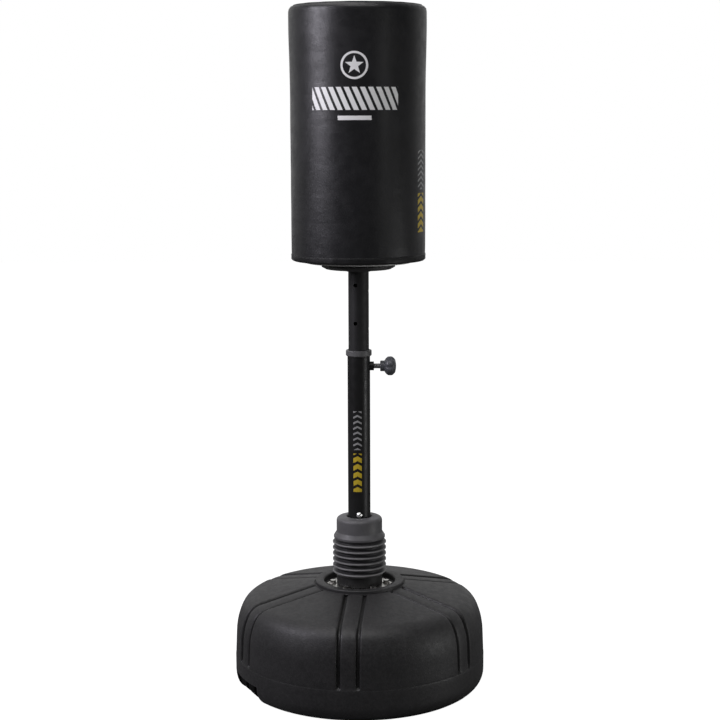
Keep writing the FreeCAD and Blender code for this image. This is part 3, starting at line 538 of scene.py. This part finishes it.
def star_mask(surface, across, up):
    """A five-pointed star: every edge, folded on to one, runs from a tip to the notch between two tips."""
    half_point = math.tau / 10
    reach = surface.reach(across, up)
    folded = surface.math("PINGPONG", surface.math("ARCTAN2", across, up), half_point)
    tip = Vector((STAR_TIP, 0)) * MM
    notch = Vector((math.cos(half_point), math.sin(half_point))) * STAR_NOTCH * MM
    edge = notch - tip
    outward = Vector((edge.y, -edge.x)).normalized()
    along_tip = surface.both(reach, surface.math("COSINE", folded))
    beside_tip = surface.both(reach, surface.math("SINE", folded))
    beyond = surface.math("MULTIPLY_ADD", along_tip, outward.x, surface.both(beside_tip, outward.y))
    limit, blur = outward.dot(tip), 0.0002
    return surface.ramp(beyond, limit - blur, limit + blur, 1.0, 0.0)


def box_mask(surface, across, up, half, low, high):
    """A rectangle, in millimetres."""
    level = surface.within(up, low * MM, high * MM)
    return surface.both(level, surface.within(across, -half * MM, half * MM))


def bag_leather():
    """The bag's side, with a plain emblem at the front and the two-tone column at the right."""
    made = leather("cover_leather", (0.0085, 0.0085, 0.0095), (0.0125, 0.0125, 0.014), (0.36, 0.46))
    x, y, z = made.axes()
    turn = made.math("ARCTAN2", x, made.both(y, -1.0))
    across = made.both(turn, BAG_RADIUS * MM)
    off = made.math("SUBTRACT", across, EMBLEM_MIDDLE * MM)
    rise = made.math("SUBTRACT", z, BADGE_HEIGHT * MM)
    ring = made.within(made.reach(off, rise), BADGE_INNER * MM, BADGE_OUTER * MM)
    star = star_mask(made, off, rise)

    # a broad band of slanted bars with a thin line under it
    slant = made.math("MULTIPLY_ADD", z, 0.45, off)
    phase = made.math("FRACT", made.math("DIVIDE", slant, BAR_PITCH * MM))
    bars = made.within(phase, 0.05, 0.69, edge=0.012)
    band = box_mask(made, off, z, BAND_HALF, BAND_LOW, BAND_HIGH)
    line = box_mask(made, off, z, LINE_HALF, LINE_LOW, LINE_HIGH)
    emblem = made.either(made.either(ring, star), line)
    printed(made, made.either(emblem, made.both(bars, band)), WHITE_INK)

    side_print(made, across, z, BAG_PRINT_ANGLE * BAG_RADIUS, 16.5, 1041, 1219)
    return made


def tube_coat():
    """The lower tube's coat, with the two-tone column down its front half."""
    made = powder_coat("tube_coat")
    x, y, z = made.axes()
    front = made.math("LESS_THAN", y, 0.0)
    across = made.math("MULTIPLY_ADD", made.math("SUBTRACT", front, 1.0), -1.0, x)
    side_print(made, across, z, -3.5, 9.5, 452, 637)
    return made


def bellows_rubber():
    """Dark rubber with a painted highlight, broken up by noise, on the crests of its ribs and painted shade
    down in its folds.
    """
    made = Surface("bellows_rubber", specular=0.5, sheen=0.08)
    made.patchy((0.092, 0.091, 0.095), (0.116, 0.115, 0.119), (0.43, 0.55), patch=20, grain=1400)
    x, y, z = made.axes()
    reach = made.reach(x, y)
    # painted highlight: the crests, which face the top light, are made paler
    crest = made.ramp(reach, (RIB_CREST - 1.4) * MM, (RIB_CREST - 0.4) * MM)
    # painted shade: the folds between the ribs are darkened where the deep grooves lie in shadow
    valley = made.ramp(reach, (RIB_CREST - 3) * MM, (RIB_CREST - 0.6) * MM, 0.95, 0.0)
    ribs = made.within(z, 0.255, 0.3425)
    painted_crest_highlight = made.both(crest, made.noise(55, 4.0, 0.6))
    made.tone = made.mix(painted_crest_highlight, made.tone, grey(0.31))
    made.colour(made.mix(made.both(valley, ribs), made.tone, (0.02, 0.02, 0.021)))
    made.bump(made.cells(900), 0.00004, 0.5)
    return made


def pale_board():
    made = Surface("pale_board", specular=0.4).patchy((0.84, 0.84, 0.82), (0.9, 0.9, 0.88), (0.4, 0.52))
    speck = made.ramp(made.noise(700, 3.0, 0.7), 0.64, 0.72)
    made.colour(made.mix(speck, made.tone, (0.5, 0.5, 0.47)))
    return made


def ply_wood():
    made = Surface("ply_wood", specular=0.3).patchy((0.42, 0.28, 0.15), (0.58, 0.42, 0.25), (0.55, 0.7))
    grain = made.ramp(made.noise(22, 6.0, 0.7, stretch=(1, 14, 30)), 0.4, 0.65)
    made.colour(made.mix(grain, made.tone, (0.3, 0.18, 0.09)))
    made.bump(grain, 0.0001)
    return made


def foam_block():
    made = Surface("foam", specular=0.2, sheen=0.1).patchy((0.6, 0.57, 0.44), (0.7, 0.67, 0.55), (0.85, 0.95))
    pores = made.ramp(made.cells(500), 0.15, 0.5)
    made.colour(made.mix(pores, (0.42, 0.39, 0.28), made.tone))
    made.bump(pores, 0.0005)
    return made


def still_water():
    made = Surface("water", specular=0.5).patchy((0.35, 0.5, 0.56), (0.42, 0.58, 0.64), (0.04, 0.09), patch=6)
    made.bump(made.noise(30, 3.0, 0.5), 0.0006)
    return made


tank_surface = tank_plastic()
collar_surface = moulded_plastic(
    "collar_plastic", (0.12, 0.12, 0.121), (0.142, 0.142, 0.143), (0.4, 0.5), 1200
)
knob_surface = moulded_plastic(
    "knob_plastic", (0.092, 0.096, 0.106), (0.117, 0.122, 0.133), (0.36, 0.46), 1300, 0.00005
)
wheel_surface = moulded_plastic("wheel_plastic", grey(0.002), grey(0.004), (0.55, 0.7), 800, 0.00012, 0.12)
cap_surface = moulded_plastic("black_plastic", grey(0.011), grey(0.017), (0.38, 0.5), 1000)
seal_surface = moulded_plastic("seal_rubber", grey(0.012), grey(0.02), (0.6, 0.75), 900)
black_coat = powder_coat("black_coat")
satin_coat = powder_coat("satin_coat", 0.018, 0.024, (0.5, 0.6))
dish_coat = powder_coat("dish_coat", 0.036, 0.044, (0.46, 0.56))
zinc_surface = plated_steel("zinc_plate", (0.66, 0.65, 0.62), (0.8, 0.79, 0.76), (0.22, 0.36))
bright_surface = plated_steel("bright_screw", (0.72, 0.72, 0.7), (0.86, 0.86, 0.84), (0.2, 0.32), 400, 0.55)
shank_surface = plated_steel("shank_steel", grey(0.4), (0.54, 0.54, 0.53), (0.26, 0.38), 400, 0.6)
plug_surface = plated_steel("plug_steel", (0.42, 0.42, 0.41), (0.55, 0.55, 0.54), (0.3, 0.45))
spring_surface = plated_steel("spring_steel", (0.2, 0.2, 0.21), (0.32, 0.32, 0.33), (0.32, 0.48))
brass_surface = plated_steel("insert_brass", (0.62, 0.44, 0.2), (0.75, 0.56, 0.28), (0.25, 0.4))
cover_surface = bag_leather()
hem_surface = leather("hem_leather", (0.0045, 0.0045, 0.005), (0.007, 0.007, 0.0078), (0.42, 0.55), 0.35)
piping_surface = leather("piping_leather", (0.006, 0.006, 0.0065), (0.009, 0.009, 0.01), (0.4, 0.5))
thread_surface = Surface("thread", specular=0.3, sheen=0.2)
thread_surface.patchy((0.012, 0.012, 0.013), (0.03, 0.03, 0.032), (0.6, 0.7))
rubber_surface = bellows_rubber()
foam_surface = foam_block()

for surface, nodes in (
    (still_water(), ("water_ballast",)),
    (cap_surface, ("filler_plug", "tube_top_cap", "slip_washer")),
    (seal_surface, ("plug_seal",)),
    (zinc_surface, ("wheel_axle", "axle_clips", "mounting_plate", "plate_washers", "plate_bolts")),
    (zinc_surface, ("lock_tip", "flange_screws")),
    (wheel_surface, ("wheel_front", "wheel_rear")),
    (brass_surface, ("tank_inserts",)),
    (satin_coat, ("spring_cup", "upper_tube")),
    (plug_surface, ("spring_plug", "core_tube")),
    (tube_coat(), ("lower_tube",)),
    (bright_surface, ("tube_screws",)),
    (black_coat, ("weld_nut",)),
    (collar_surface, ("collar_bush", "guide_foot")),
    (dish_coat, ("support_dish",)),
    (pale_board(), ("bottom_disc",)),
    (ply_wood(), ("top_board",)),
):
    for node in nodes:
        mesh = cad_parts[node].data
        mesh.materials.clear()
        mesh.materials.append(surface.material)


# ---------- tank
def tank_section():
    """The tank's outer half section from the middle of its underside up and into the well."""
    edge, wall = TANK_RADIUS, TANK_RADIUS - SKIRT_STEP
    line = [(0, 0)] + between((0, 0), (edge - EDGE_ROUND, 0), 5)
    line += arc((edge - EDGE_ROUND, 0), (edge, EDGE_ROUND), EDGE_ROUND, 10)
    line += between((edge, EDGE_ROUND), (edge, SKIRT_TOP - 3), 3)
    line += [(edge - 0.2, SKIRT_TOP - 1.4), (wall - 0.15, SKIRT_TOP + 0.2), (wall, SKIRT_TOP + 1.6)]
    line += [(wall, SKIRT_TOP + 6)] + between((wall, SKIRT_TOP + 6), SHOULDER_LOW, 4)
    line += arc(SHOULDER_LOW, SHOULDER_MIDDLE, 141.7, 8) + arc(SHOULDER_MIDDLE, SHOULDER_HIGH, 45.3, 9)
    line += between(SHOULDER_HIGH, (112, 234.3), 9) + [(108, 235.1), (106, 235.5), (104.4, 235.8)]
    ring = [(103.6, 236, 0), (102.6, 234.6, 0.5), (RING_RADIUS, 234.8, 0.6), (RING_RADIUS, RING_TOP, 2.6)]
    ring += [(RING_BORE, RING_TOP, 4), (RING_BORE, WELL_FLOOR, 2), (WELL_BORE, WELL_FLOOR, 0)]
    return line + rounded(ring) + [(0, WELL_FLOOR)]


def tank_columns():
    """Each column as its channel's direction, its distance to the side of it, the depth there, and a share
    of the way on to the next channel."""
    columns = []
    for i in range(CHANNELS):
        angle = math.radians(CHANNEL_ANGLE + 360 / CHANNELS * i)
        columns += [(angle, -offset, depth, 0) for offset, depth in reversed(CHANNEL_DEPTHS[1:])]
        columns += [(angle, offset, depth, 0) for offset, depth in CHANNEL_DEPTHS]
        offset, depth = CHANNEL_DEPTHS[-1]
        columns += [(angle, offset, 0, k / (PANEL_COLUMNS + 1)) for k in range(1, PANEL_COLUMNS + 1)]
    return columns


def section_normals(section):
    """The outward direction at each point of a half section."""
    normals = []
    for i in range(len(section)):
        before, after = section[max(i - 1, 0)], section[min(i + 1, len(section) - 1)]
        along = (Vector(after) - Vector(before)).normalized()
        normals.append(Vector((along.y, -along.x)))
    return normals


def make_tank():
    """The tank's shell, with its notch, the room for the wheels, the axle's rib and the filler neck."""
    section, columns = tank_section(), tank_columns()
    rings = []
    for (radius, height), normal in zip(section, section_normals(section)):
        if radius < 0.001:
            rings.append([Vector((0, 0, height)) * MM])
            continue
        fade = ease(height, SKIRT_TOP + 0.4, SKIRT_TOP + 3)
        fade *= ease(radius, RING_RADIUS + 1.9, RING_RADIUS + 3.6)
        ring = []
        for angle, offset, depth, share in columns:
            swing = math.asin(offset / max(radius, RING_RADIUS + 3))
            turn = angle + swing + share * (math.tau / CHANNELS - 2 * swing)
            sunk = depth * fade
            distance, level = radius - normal.x * sunk, height - normal.y * sunk
            ring.append(polar(distance, turn, level) * MM)
        rings.append(ring)
    tank = skin("tank_shell", rings, tank_surface, sharp=50)

    outward = polar(1, WHEEL_ANGLE)
    along = Vector((-outward.y, outward.x, 0))

    def block(near, far, half, low, high):
        corners = []
        for height in (low, high):
            for distance, side in ((near, -half), (far, -half), (far, half), (near, half)):
                corners.append((outward * distance + along * side + Vector((0, 0, height))) * MM)
        faces = [[3, 2, 1, 0], [4, 5, 6, 7], [0, 1, 5, 4], [1, 2, 6, 5], [2, 3, 7, 6], [3, 0, 4, 7]]
        return piece("cutter", corners, faces, tank_surface)

    def roller(radius, half):
        axle = outward * WHEEL_DISTANCE + Vector((0, 0, WHEEL_HEIGHT))
        rings = [[(axle + along * -half) * MM]]
        for side in (-half, half):
            ring = []
            for a in circle_angles(48):
                spoke = outward * math.cos(a) + Vector((0, 0, math.sin(a)))
                ring.append((axle + along * side + spoke * radius) * MM)
            rings.append(ring)
        rings.append([(axle + along * half) * MM])
        return skin("cutter", [list(reversed(ring)) for ring in rings], tank_surface)

    # the notch through the skirt, round room for the wheels, and the web between them that holds the axle
    notch = block(near=NOTCH_NEAR, far=TANK_RADIUS + 15, half=NOTCH_HALF, low=-5, high=NOTCH_HIGH)
    cut_away(tank, notch)
    cut_away(tank, roller(radius=WHEEL_ROOM, half=45))
    cut_away(tank, block(near=NOTCH_NEAR - 2, far=271, half=4, low=22, high=75), "UNION")
    neck_x, neck_y = (sum(c[i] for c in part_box("filler_plug")) / 2 for i in range(2))
    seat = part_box("filler_plug")[1].z / MM - 5
    foot, top = FILLER_FOOT, seat + 5
    outside = [(0, foot), (FILLER_OUTER, foot), (FILLER_OUTER, seat - 1.5)]
    outside += [(FILLER_OUTER - 1.5, seat), (0, seat)]
    inside = [(0, foot + 1), (FILLER_INNER, foot + 1), (FILLER_INNER, top), (0, top)]
    boss = lathe("cutter", outside, 48, tank_surface)
    bore = lathe("cutter", inside, 48, tank_surface)
    for cutter in (boss, bore):
        cutter.data.transform(Matrix.Translation((neck_x, neck_y, 0)))
    cut_away(tank, boss, "UNION")
    cut_away(tank, bore)
    soften(tank.data, 42)
    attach(tank, "base")
    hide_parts("base_tank")


# ---------- bellows and spring
def bellows_outside():
    """The bellows' outer half section from its foot to its mouth."""
    crest, valley = RIB_CREST, RIB_VALLEY
    corners = [(valley, BELLOWS_LOW, 0), (valley + 1.4, BELLOWS_LOW, 0.5)]
    corners += [(crest - 1.6, FIRST_RIB - 2.2, 1.2)]
    for i in range(RIBS):
        middle = FIRST_RIB + RIB_PITCH * i
        if i:
            corners += [(valley, middle - 4.6, 1.2), (crest - 1.6, middle - 2.2, 1.2)]
        corners += [(crest, middle - 1.1, 0.9), (crest, middle + 0.9, 0.9)]
        corners += [(crest - 1.6, middle + 2.2, 1.2), (valley, middle + 4.8, 1.2)]
    corners += [(58.4, 342.6, 1.0), (58.4, 347, 1.4), (52, 356.5, 5), (52, 389.2, 8.2)]
    corners += [(29.8, 391.6, 1.2), (BELLOWS_MOUTH, BELLOWS_HIGH - 1.6, 0)]
    return rounded(corners)


def make_bellows():
    """Two halves that meet at the flex level."""
    outside = bellows_outside()
    split_outside, split_inside = (60.4, FLEX_HEIGHT), (BELLOWS_BORE, FLEX_HEIGHT)
    below = [p for p in outside if p[1] < FLEX_HEIGHT - 0.3] + [split_outside]
    above = [split_outside] + [p for p in outside if p[1] > FLEX_HEIGHT + 0.3]
    below += [split_inside, (BELLOWS_BORE, 270), (52.4, 267.5), (52.4, BELLOWS_LOW)]
    above += [(BELLOWS_MOUTH, BELLOWS_HIGH - 4.5), (42, 387), (48, 381), (48.2, 357), (54.6, 346.5)]
    above += [(54, 344), (BELLOWS_BORE, 342), split_inside]
    for name, section, lower, upper, low, high in (
        ("bellows_lower", below, "base", "spring", BEND_LOW, FLEX_HEIGHT),
        ("bellows_upper", above, "spring", "post", FLEX_HEIGHT, BEND_HIGH),
    ):
        half = lathe(name, section, 96, rubber_surface, loop=True, sharp=50)
        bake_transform(half)
        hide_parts("bellows")


def make_spring():
    """The coil, in two halves that meet at the flex level."""
    low, high = SPRING_LOW + SPRING_WIRE, SPRING_HIGH - SPRING_WIRE
    steps = SPRING_TURNS * 36
    line = []
    for i in range(steps + 1):
        a = math.tau * SPRING_TURNS * i / steps
        line.append(polar(SPRING_RADIUS, a, low + (high - low) * i / steps) * MM)
    split = next(i for i, p in enumerate(line) if p.z > FLEX_HEIGHT * MM)
    for name, run, lower, upper, start, end in (
        ("spring_lower", line[: split + 1], "base", "spring", low, FLEX_HEIGHT),
        ("spring_upper", line[split:], "spring", "post", FLEX_HEIGHT, high),
    ):
        coil = tube(name, run, SPRING_WIRE * MM, spring_surface)
        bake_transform(coil)
        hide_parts("coil_spring")


# ---------- lock screw
def make_lock_screw():
    """The threaded shank between the nut and the knob, hollow at its end for the tip's swivel stem."""
    low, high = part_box("lock_screw")
    axis_height = (low.z + high.z) / 2
    major = (high.z - low.z) / 2
    minor = major - THREAD_DEPTH * MM
    bore, bore_depth = 2.6 * MM, 6.2 * MM
    columns = 32
    steps = round((high.x - low.x) / (THREAD_PITCH * MM) * 8)

    def circle(along, reach):
        ring = []
        for j, a in enumerate(circle_angles(columns)):
            turns = (along - low.x) / (THREAD_PITCH * MM) - j / columns
            ridge = ease(abs(turns % 1 - 0.5) * 2, 0.12, 0.82)
            radius = reach if reach < minor else minor + (reach - minor) * ridge
            ring.append(Vector((along, -radius * math.sin(a), axis_height + radius * math.cos(a))))
        return ring

    rings = [[Vector((low.x + bore_depth, 0, axis_height))]]
    rings += [circle(low.x + bore_depth, bore), circle(low.x, bore), circle(low.x, minor * 0.94)]
    for i in range(1, steps):
        along = low.x + (high.x - low.x) * i / steps
        rings.append(circle(along, minor + (major - minor) * ease(i, 0, 6)))
    rings += [circle(high.x, minor * 0.94), [Vector((high.x, 0, axis_height))]]
    shank = skin("threaded_shank", rings, shank_surface, sharp=50)
    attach(shank, "knob")
    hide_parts("lock_screw")


def make_knob():
    """The lock's grip: a ribbed neck and a full, softly lobed head."""
    low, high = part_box("lock_knob")
    axis_height = (low.z + high.z) / 2
    face, widest = low.x / MM, (high.z - low.z) / 2 / MM
    corners = [(face, 0, 0), (face, 11.6, 0.8), (face + 2, 12.1, 1), (face + 9.4, 12.1, 1.2)]
    corners += [(face + 12.6, 17, 5), (face + 17, widest, 7), (face + 27.5, widest + 0.6, 9)]
    corners += [(face + 34, 14.5, 6), (face + 35.6, 6, 10), (face + 36, 0, 0)]
    rings = []
    for along, radius in rounded(corners, math.radians(9)):
        ring = []
        lobed = ease(along, face + 9, face + 18) * (1 - 0.55 * ease(along, face + 26, face + 35))
        ribbed = ease(along, face + 1.5, face + 3) * (1 - ease(along, face + 8, face + 9.4))
        for a in circle_angles(96):
            hollow = max(0.0, -math.cos(a * KNOB_LOBES)) ** 1.5
            rib = max(0.0, math.cos(a * KNOB_RIBS))
            reach = max(radius - LOBE_DEPTH * lobed * hollow - RIB_DEPTH * ribbed * rib, radius * 0.6)
            ring.append(Vector((along, -reach * math.sin(a), axis_height / MM + reach * math.cos(a))) * MM)
        rings.append(ring if radius > 0.001 else ring[:1])
    grip = skin("lock_grip", rings, knob_surface, sharp=50)
    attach(grip, "knob")
    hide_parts("lock_knob")


# ---------- bag
def bag_radius(height):
    """The side's radius at a height, with the slight flare of the padded head."""
    return BAG_RADIUS + (BAG_HEAD_RADIUS - BAG_RADIUS) * ease(height, 1335, 1495)


def crown_turn(angle, lift=0.0):
    """The point at an angle up the rounding from side to crown, lifted off it."""
    reach = BAG_ROUND + lift
    centre_radius, centre_height = BAG_HEAD_RADIUS - BAG_ROUND, BAG_TOP - 1 - BAG_ROUND * math.sin(SEAM_ANGLE)
    return centre_radius + reach * math.cos(angle), centre_height + reach * math.sin(angle)


def cover_section():
    """The cover's half section from the lip under the bag to the middle of its crown."""
    line = [(118.4, BAG_LOW + 0.9), (125, BAG_LOW + 0.4), (132, BAG_LOW + 0.2), (139, BAG_LOW + 0.2)]
    line += arc((142.4, BAG_LOW + 0.3), (147.9, BAG_LOW + 5.8), 5.5, 3)
    levels = [BAG_LOW + 10 + 10.6 * k for k in range(50)]
    line += [(bag_radius(z), z) for z in levels if z < BAG_TOP - BAG_ROUND - 3]
    line += [crown_turn(SEAM_ANGLE * k / 8) for k in range(9)]
    rim, height = line[-1]
    line += [(rim - 2.5, height + 0.1), (rim - 6, height + 0.2)]
    line += [(r, height + 1.5 * (1 - (r / rim) ** 2)) for r in range(126, 10, -11)]
    return line + [(0, height + 1.5)]


def sewn(sheet, pinned):
    """Lets the sheet puff out as cloth. Its seams are held, and no point moves further than reach."""
    frames, reach = 24, 1.8 * MM
    rest = [v.co.copy() for v in sheet.data.vertices]
    group = sheet.vertex_groups.new(name="seams")
    group.add(pinned, 1.0, "REPLACE")
    cloth = sheet.modifiers.new("cloth", "CLOTH")
    settings = cloth.settings
    settings.vertex_group_mass = "seams"
    settings.quality = 7
    settings.mass = 0.35
    settings.tension_stiffness = 30
    settings.compression_stiffness = 30
    settings.shear_stiffness = 12
    settings.bending_stiffness = 6.0
    settings.use_pressure = True
    settings.uniform_pressure_force = 2.0
    settings.shrink_min = -0.0015
    settings.effector_weights.gravity = 0
    scene = bpy.context.scene
    for step in range(1, frames + 1):
        scene.frame_set(step)
    graph = bpy.context.evaluated_depsgraph_get()
    puffed = [v.co.copy() for v in sheet.evaluated_get(graph).data.vertices]
    sheet.modifiers.remove(cloth)
    scene.frame_set(1)
    for vertex, old, new in zip(sheet.data.vertices, rest, puffed):
        move = new - old
        if move.length > reach:
            move *= reach / move.length
        vertex.co = old + move


def seam_relief(point):
    """How far the cover is drawn in or pushed out at a point, in millimetres: seams, gathers and slack."""
    radius = math.hypot(point.x, point.y) / MM
    height = point.z / MM
    turn = math.atan2(point.y, point.x)
    seam_radius, seam_height = crown_turn(SEAM_ANGLE)
    from_seam = math.hypot(radius - seam_radius, height - seam_height)
    ripple = noise.noise(polar(9, turn, 3))
    gathers = math.sin(turn * 46 + 5 * ripple) * 0.45 * (0.6 + ripple)
    relief = -1.5 * math.exp(-((from_seam / 3.2) ** 2))
    relief += gathers * math.exp(-((from_seam - 7) / 9) ** 2)
    from_hem = height - HEM_TOP
    tucks = noise.noise(polar(14, turn, height / 60))
    relief += 0.5 * tucks * math.exp(-((from_hem - 12) / 16) ** 2)
    relief -= 1.0 * math.exp(-((from_hem / 3.0) ** 2))
    rear = (turn - math.pi / 2) * radius
    if radius > 60:
        relief -= 1.3 * math.exp(-((rear / 4.0) ** 2))
        relief += 0.5 * math.exp(-(((abs(rear) - 11) / 5.0) ** 2))
    slack = noise.noise(Vector((point.x * 13, point.y * 13, point.z * 5)))
    relief += 0.55 * slack
    return relief


def make_cover():
    """The cover: a turned sheet, sewn at its hem, crown and rear seam, with relief along its seams."""
    section = cover_section()
    rings = turned_rings(section, BAG_COLUMNS)
    cover = skin("bag_cover_leather", rings, cover_surface, sharp=180)
    seam_row = section.index(crown_turn(SEAM_ANGLE))
    rear = BAG_COLUMNS // 4
    pinned = []
    for i, (_, height) in enumerate(section[:-1]):
        if height < HEM_TOP or i == seam_row:
            pinned += range(i * BAG_COLUMNS, (i + 1) * BAG_COLUMNS)
        elif i < seam_row:
            pinned.append(i * BAG_COLUMNS + rear)
    for vertex in cover.data.vertices:
        lean = noise.noise(vertex.co * 20) * 0.25 * MM
        vertex.co += Vector((vertex.co.x, vertex.co.y, 0)).normalized() * lean
    sewn(cover, pinned)
    cover.data.update()
    normals = [v.normal.copy() for v in cover.data.vertices]
    for vertex, normal in zip(cover.data.vertices, normals):
        vertex.co += normal * seam_relief(vertex.co) * MM
    thicken(cover, 2.0)
    smooth = cover.modifiers.new("smooth", "SUBSURF")
    smooth.levels = 1
    smooth.render_levels = 1
    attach(cover, "bag")
    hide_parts("bag_cover")


def make_bag_trim():
    """The hem band, the piping round the crown, and the thread of every seam."""
    seam_radius, seam_height = crown_turn(SEAM_ANGLE, -0.4)
    line = []
    for a in circle_angles(240):
        wander = 0.35 * noise.noise(polar(6, a))
        line.append(polar(seam_radius + wander, a, seam_height + wander) * MM)
    piping = tube("crown_piping", line, 1.3 * MM, piping_surface, closed=True)

    outer = BAG_RADIUS + 0.75
    corners = [(134, BAG_LOW + 0.2, 0), (134, BAG_LOW - 0.5, 0.4), (outer - 3, BAG_LOW - 0.6, 2)]
    corners += [(outer, BAG_LOW + 2.6, 2.4), (outer, HEM_TOP - 1, 0.7), (outer - 1.6, HEM_TOP + 0.3, 0)]
    rings = turned_rings(rounded(corners), 180)
    for ring in rings:
        for point in ring:
            out = Vector((point.x, point.y, 0)).normalized()
            point += out * 0.9 * MM * noise.noise(out * 13 + Vector((0, 0, point.z * 30)))
    band = skin("hem_binding", rings, hem_surface, sharp=60)
    thicken(band, 0.9)
    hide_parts("hem_band")

    low_row = circle_stitches(outer + 0.1, HEM_TOP - 3.4)
    tilt = math.radians(28)
    high_radius, high_height = crown_turn(tilt, 0.4)
    high_row = circle_stitches(high_radius, high_height, tilt)
    rear_rows = []
    for side in (-11, 11):
        a = math.pi / 2 + side / BAG_RADIUS
        for height in (HEM_TOP + 8 + 4.7 * k for k in range(103)):
            middle = polar(bag_radius(height) + 1.6, a, height) * MM
            rear_rows.append((middle, Vector((0, 0, 1)), polar(1, a)))
    rows = {"hem_stitches": low_row, "crown_stitches": high_row, "rear_stitches": rear_rows}
    for name, places in rows.items():
        stitches(name, places, thread_surface)
    for name in ("crown_piping", "hem_binding", "hem_stitches", "crown_stitches", "rear_stitches"):
        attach(bpy.data.objects[name], "bag")


def make_padding():
    """The foam round the core tube and the pad under the crown, with softly rounded edges."""
    low, high = (corner.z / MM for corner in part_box("foam_core"))
    bore, reach = 26.9, BAG_RADIUS - 4.2
    corners = [(bore, 983, 0), (60.6, 983, 1), (60.6, low, 1), (reach, low, 6), (reach, 1300, 60)]
    corners += [(BAG_HEAD_RADIUS - 3.4, high - 30, 30), (BAG_HEAD_RADIUS - 3.4, high, 9), (bore, high, 0)]
    foam = lathe("foam_body", rounded(corners), 96, foam_surface, loop=True)
    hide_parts("foam_core")
    low, high = (corner.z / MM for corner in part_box("top_pad"))
    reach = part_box("top_pad")[1].x / MM
    corners = [(0, low, 0), (reach, low, 3), (reach, high - 1, 9), (reach * 0.6, high, 60), (0, high, 0)]
    pad = lathe("crown_pad", rounded(corners), 72, foam_surface)
    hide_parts("top_pad")
    for thing in (foam, pad):
        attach(thing, "bag")


# ---------- studio
def sky():
    """White for the camera, and a dim room with a brighter back wall for everything else."""
    world = bpy.data.worlds.new("studio")
    bpy.context.scene.world = world
    world.use_nodes = True
    tree = world.node_tree
    tree.nodes.clear()
    new, link = tree.nodes.new, tree.links.new
    place = new("ShaderNodeTexCoord")
    axes = new("ShaderNodeSeparateXYZ")
    wall = new("ShaderNodeMapRange")
    wall.interpolation_type = "SMOOTHSTEP"
    for i, value in enumerate((0, -0.15, 0.95, ROOM_FRONT, ROOM_BACK)):
        wall.inputs[i].default_value = value
    rays = new("ShaderNodeLightPath")
    strength = new("ShaderNodeMix")
    strength.inputs[3].default_value = 1.0
    background = new("ShaderNodeBackground")
    background.inputs["Color"].default_value = (1, 1, 1, 1)
    output = new("ShaderNodeOutputWorld")
    link(place.outputs["Generated"], axes.inputs[0])
    link(axes.outputs[1], wall.inputs[0])
    link(rays.outputs["Is Camera Ray"], strength.inputs[0])
    link(wall.outputs[0], strength.inputs[2])
    link(strength.outputs[0], background.inputs["Strength"])
    link(background.outputs[0], output.inputs[0])


def softbox(name, at, aim, width, height, power, tint=(1, 1, 1)):
    """A rectangular light at one place and facing another, in metres and watts."""
    light = bpy.data.lights.new(name, "AREA")
    light.color = tint
    light.shape = "RECTANGLE"
    light.size = width
    light.size_y = height
    light.energy = power
    thing = bpy.data.objects.new(name, light)
    thing.location = at
    thing.rotation_euler = (Vector(aim) - Vector(at)).to_track_quat("-Z", "Y").to_euler()
    bpy.context.scene.collection.objects.link(thing)


def make_floor():
    """A plain pale floor, bright to the camera and quieter in the object's reflections."""
    points = [(-9, -7, 0), (9, -7, 0), (9, 11, 0), (-9, 11, 0)]
    pale = Surface("floor", specular=0.0)
    tree = pale.tree
    matt = pale.node("ShaderNodeBsdfDiffuse")
    matt.inputs["Color"].default_value = (*grey(FLOOR_SHADE), 1)
    glow = pale.node("ShaderNodeEmission")
    glow.inputs["Color"].default_value = (1, 1, 1, 1)
    glow.inputs["Strength"].default_value = FLOOR_GLOW
    both = pale.node("ShaderNodeAddShader")
    pale.put(matt.outputs[0], both.inputs[0])
    pale.put(glow.outputs[0], both.inputs[1])
    dim = pale.node("ShaderNodeBsdfDiffuse")
    dim.inputs["Color"].default_value = (*grey(FLOOR_BOUNCE), 1)
    chosen = pale.node("ShaderNodeMixShader")
    pale.put(pale.node("ShaderNodeLightPath").outputs["Is Camera Ray"], chosen.inputs[0])
    pale.put(dim.outputs[0], chosen.inputs[1])
    pale.put(both.outputs[0], chosen.inputs[2])
    output = next(n for n in tree.nodes if n.type == "OUTPUT_MATERIAL")
    tree.links.new(chosen.outputs[0], output.inputs[0])
    tree.nodes.remove(pale.shader)
    floor = piece("floor", points, [[0, 1, 2, 3]], pale)
    floor.location.z = -0.0005


def make_studio():
    """The room, the floor, five soft lights and the camera."""
    sky()
    make_floor()
    softbox("left_box", (-2.1, -0.92, 2.02), (0, 0, 1.7), 1.1, 1.3, 44, (0.93, 0.9, 1.0))
    softbox("top_box", (-0.6, -0.2, 3.2), (0, 0, 0.2), 2.2, 1.6, 19, (1.0, 0.97, 0.96))
    softbox("front_box", (0.2, -1.9, 3.9), (0, 0, 0.5), 2.2, 1.2, 38)
    softbox("right_box", (2.3, -0.75, 0.22), (0, 0, 0.3), 0.5, 0.4, 7.5)
    softbox("front_right_box", (1.8, -1.8, 1.35), (0, 0, 1.25), 0.5, 0.8, 1.5)
    camera = bpy.data.cameras.new("camera")
    camera.lens = 80
    camera.sensor_width = 36
    camera.clip_end = 50
    viewer = bpy.data.objects.new("camera", camera)
    viewer.location = CAMERA_AT
    viewer.rotation_euler = (CAMERA_TILT, CAMERA_ROLL, 0)
    bpy.context.scene.collection.objects.link(viewer)
    bpy.context.scene.camera = viewer
    bpy.context.scene.view_settings.view_transform = "Standard"


make_tank()
make_bellows()
make_spring()
make_lock_screw()
make_knob()
make_cover()
make_bag_trim()
make_padding()
make_studio()
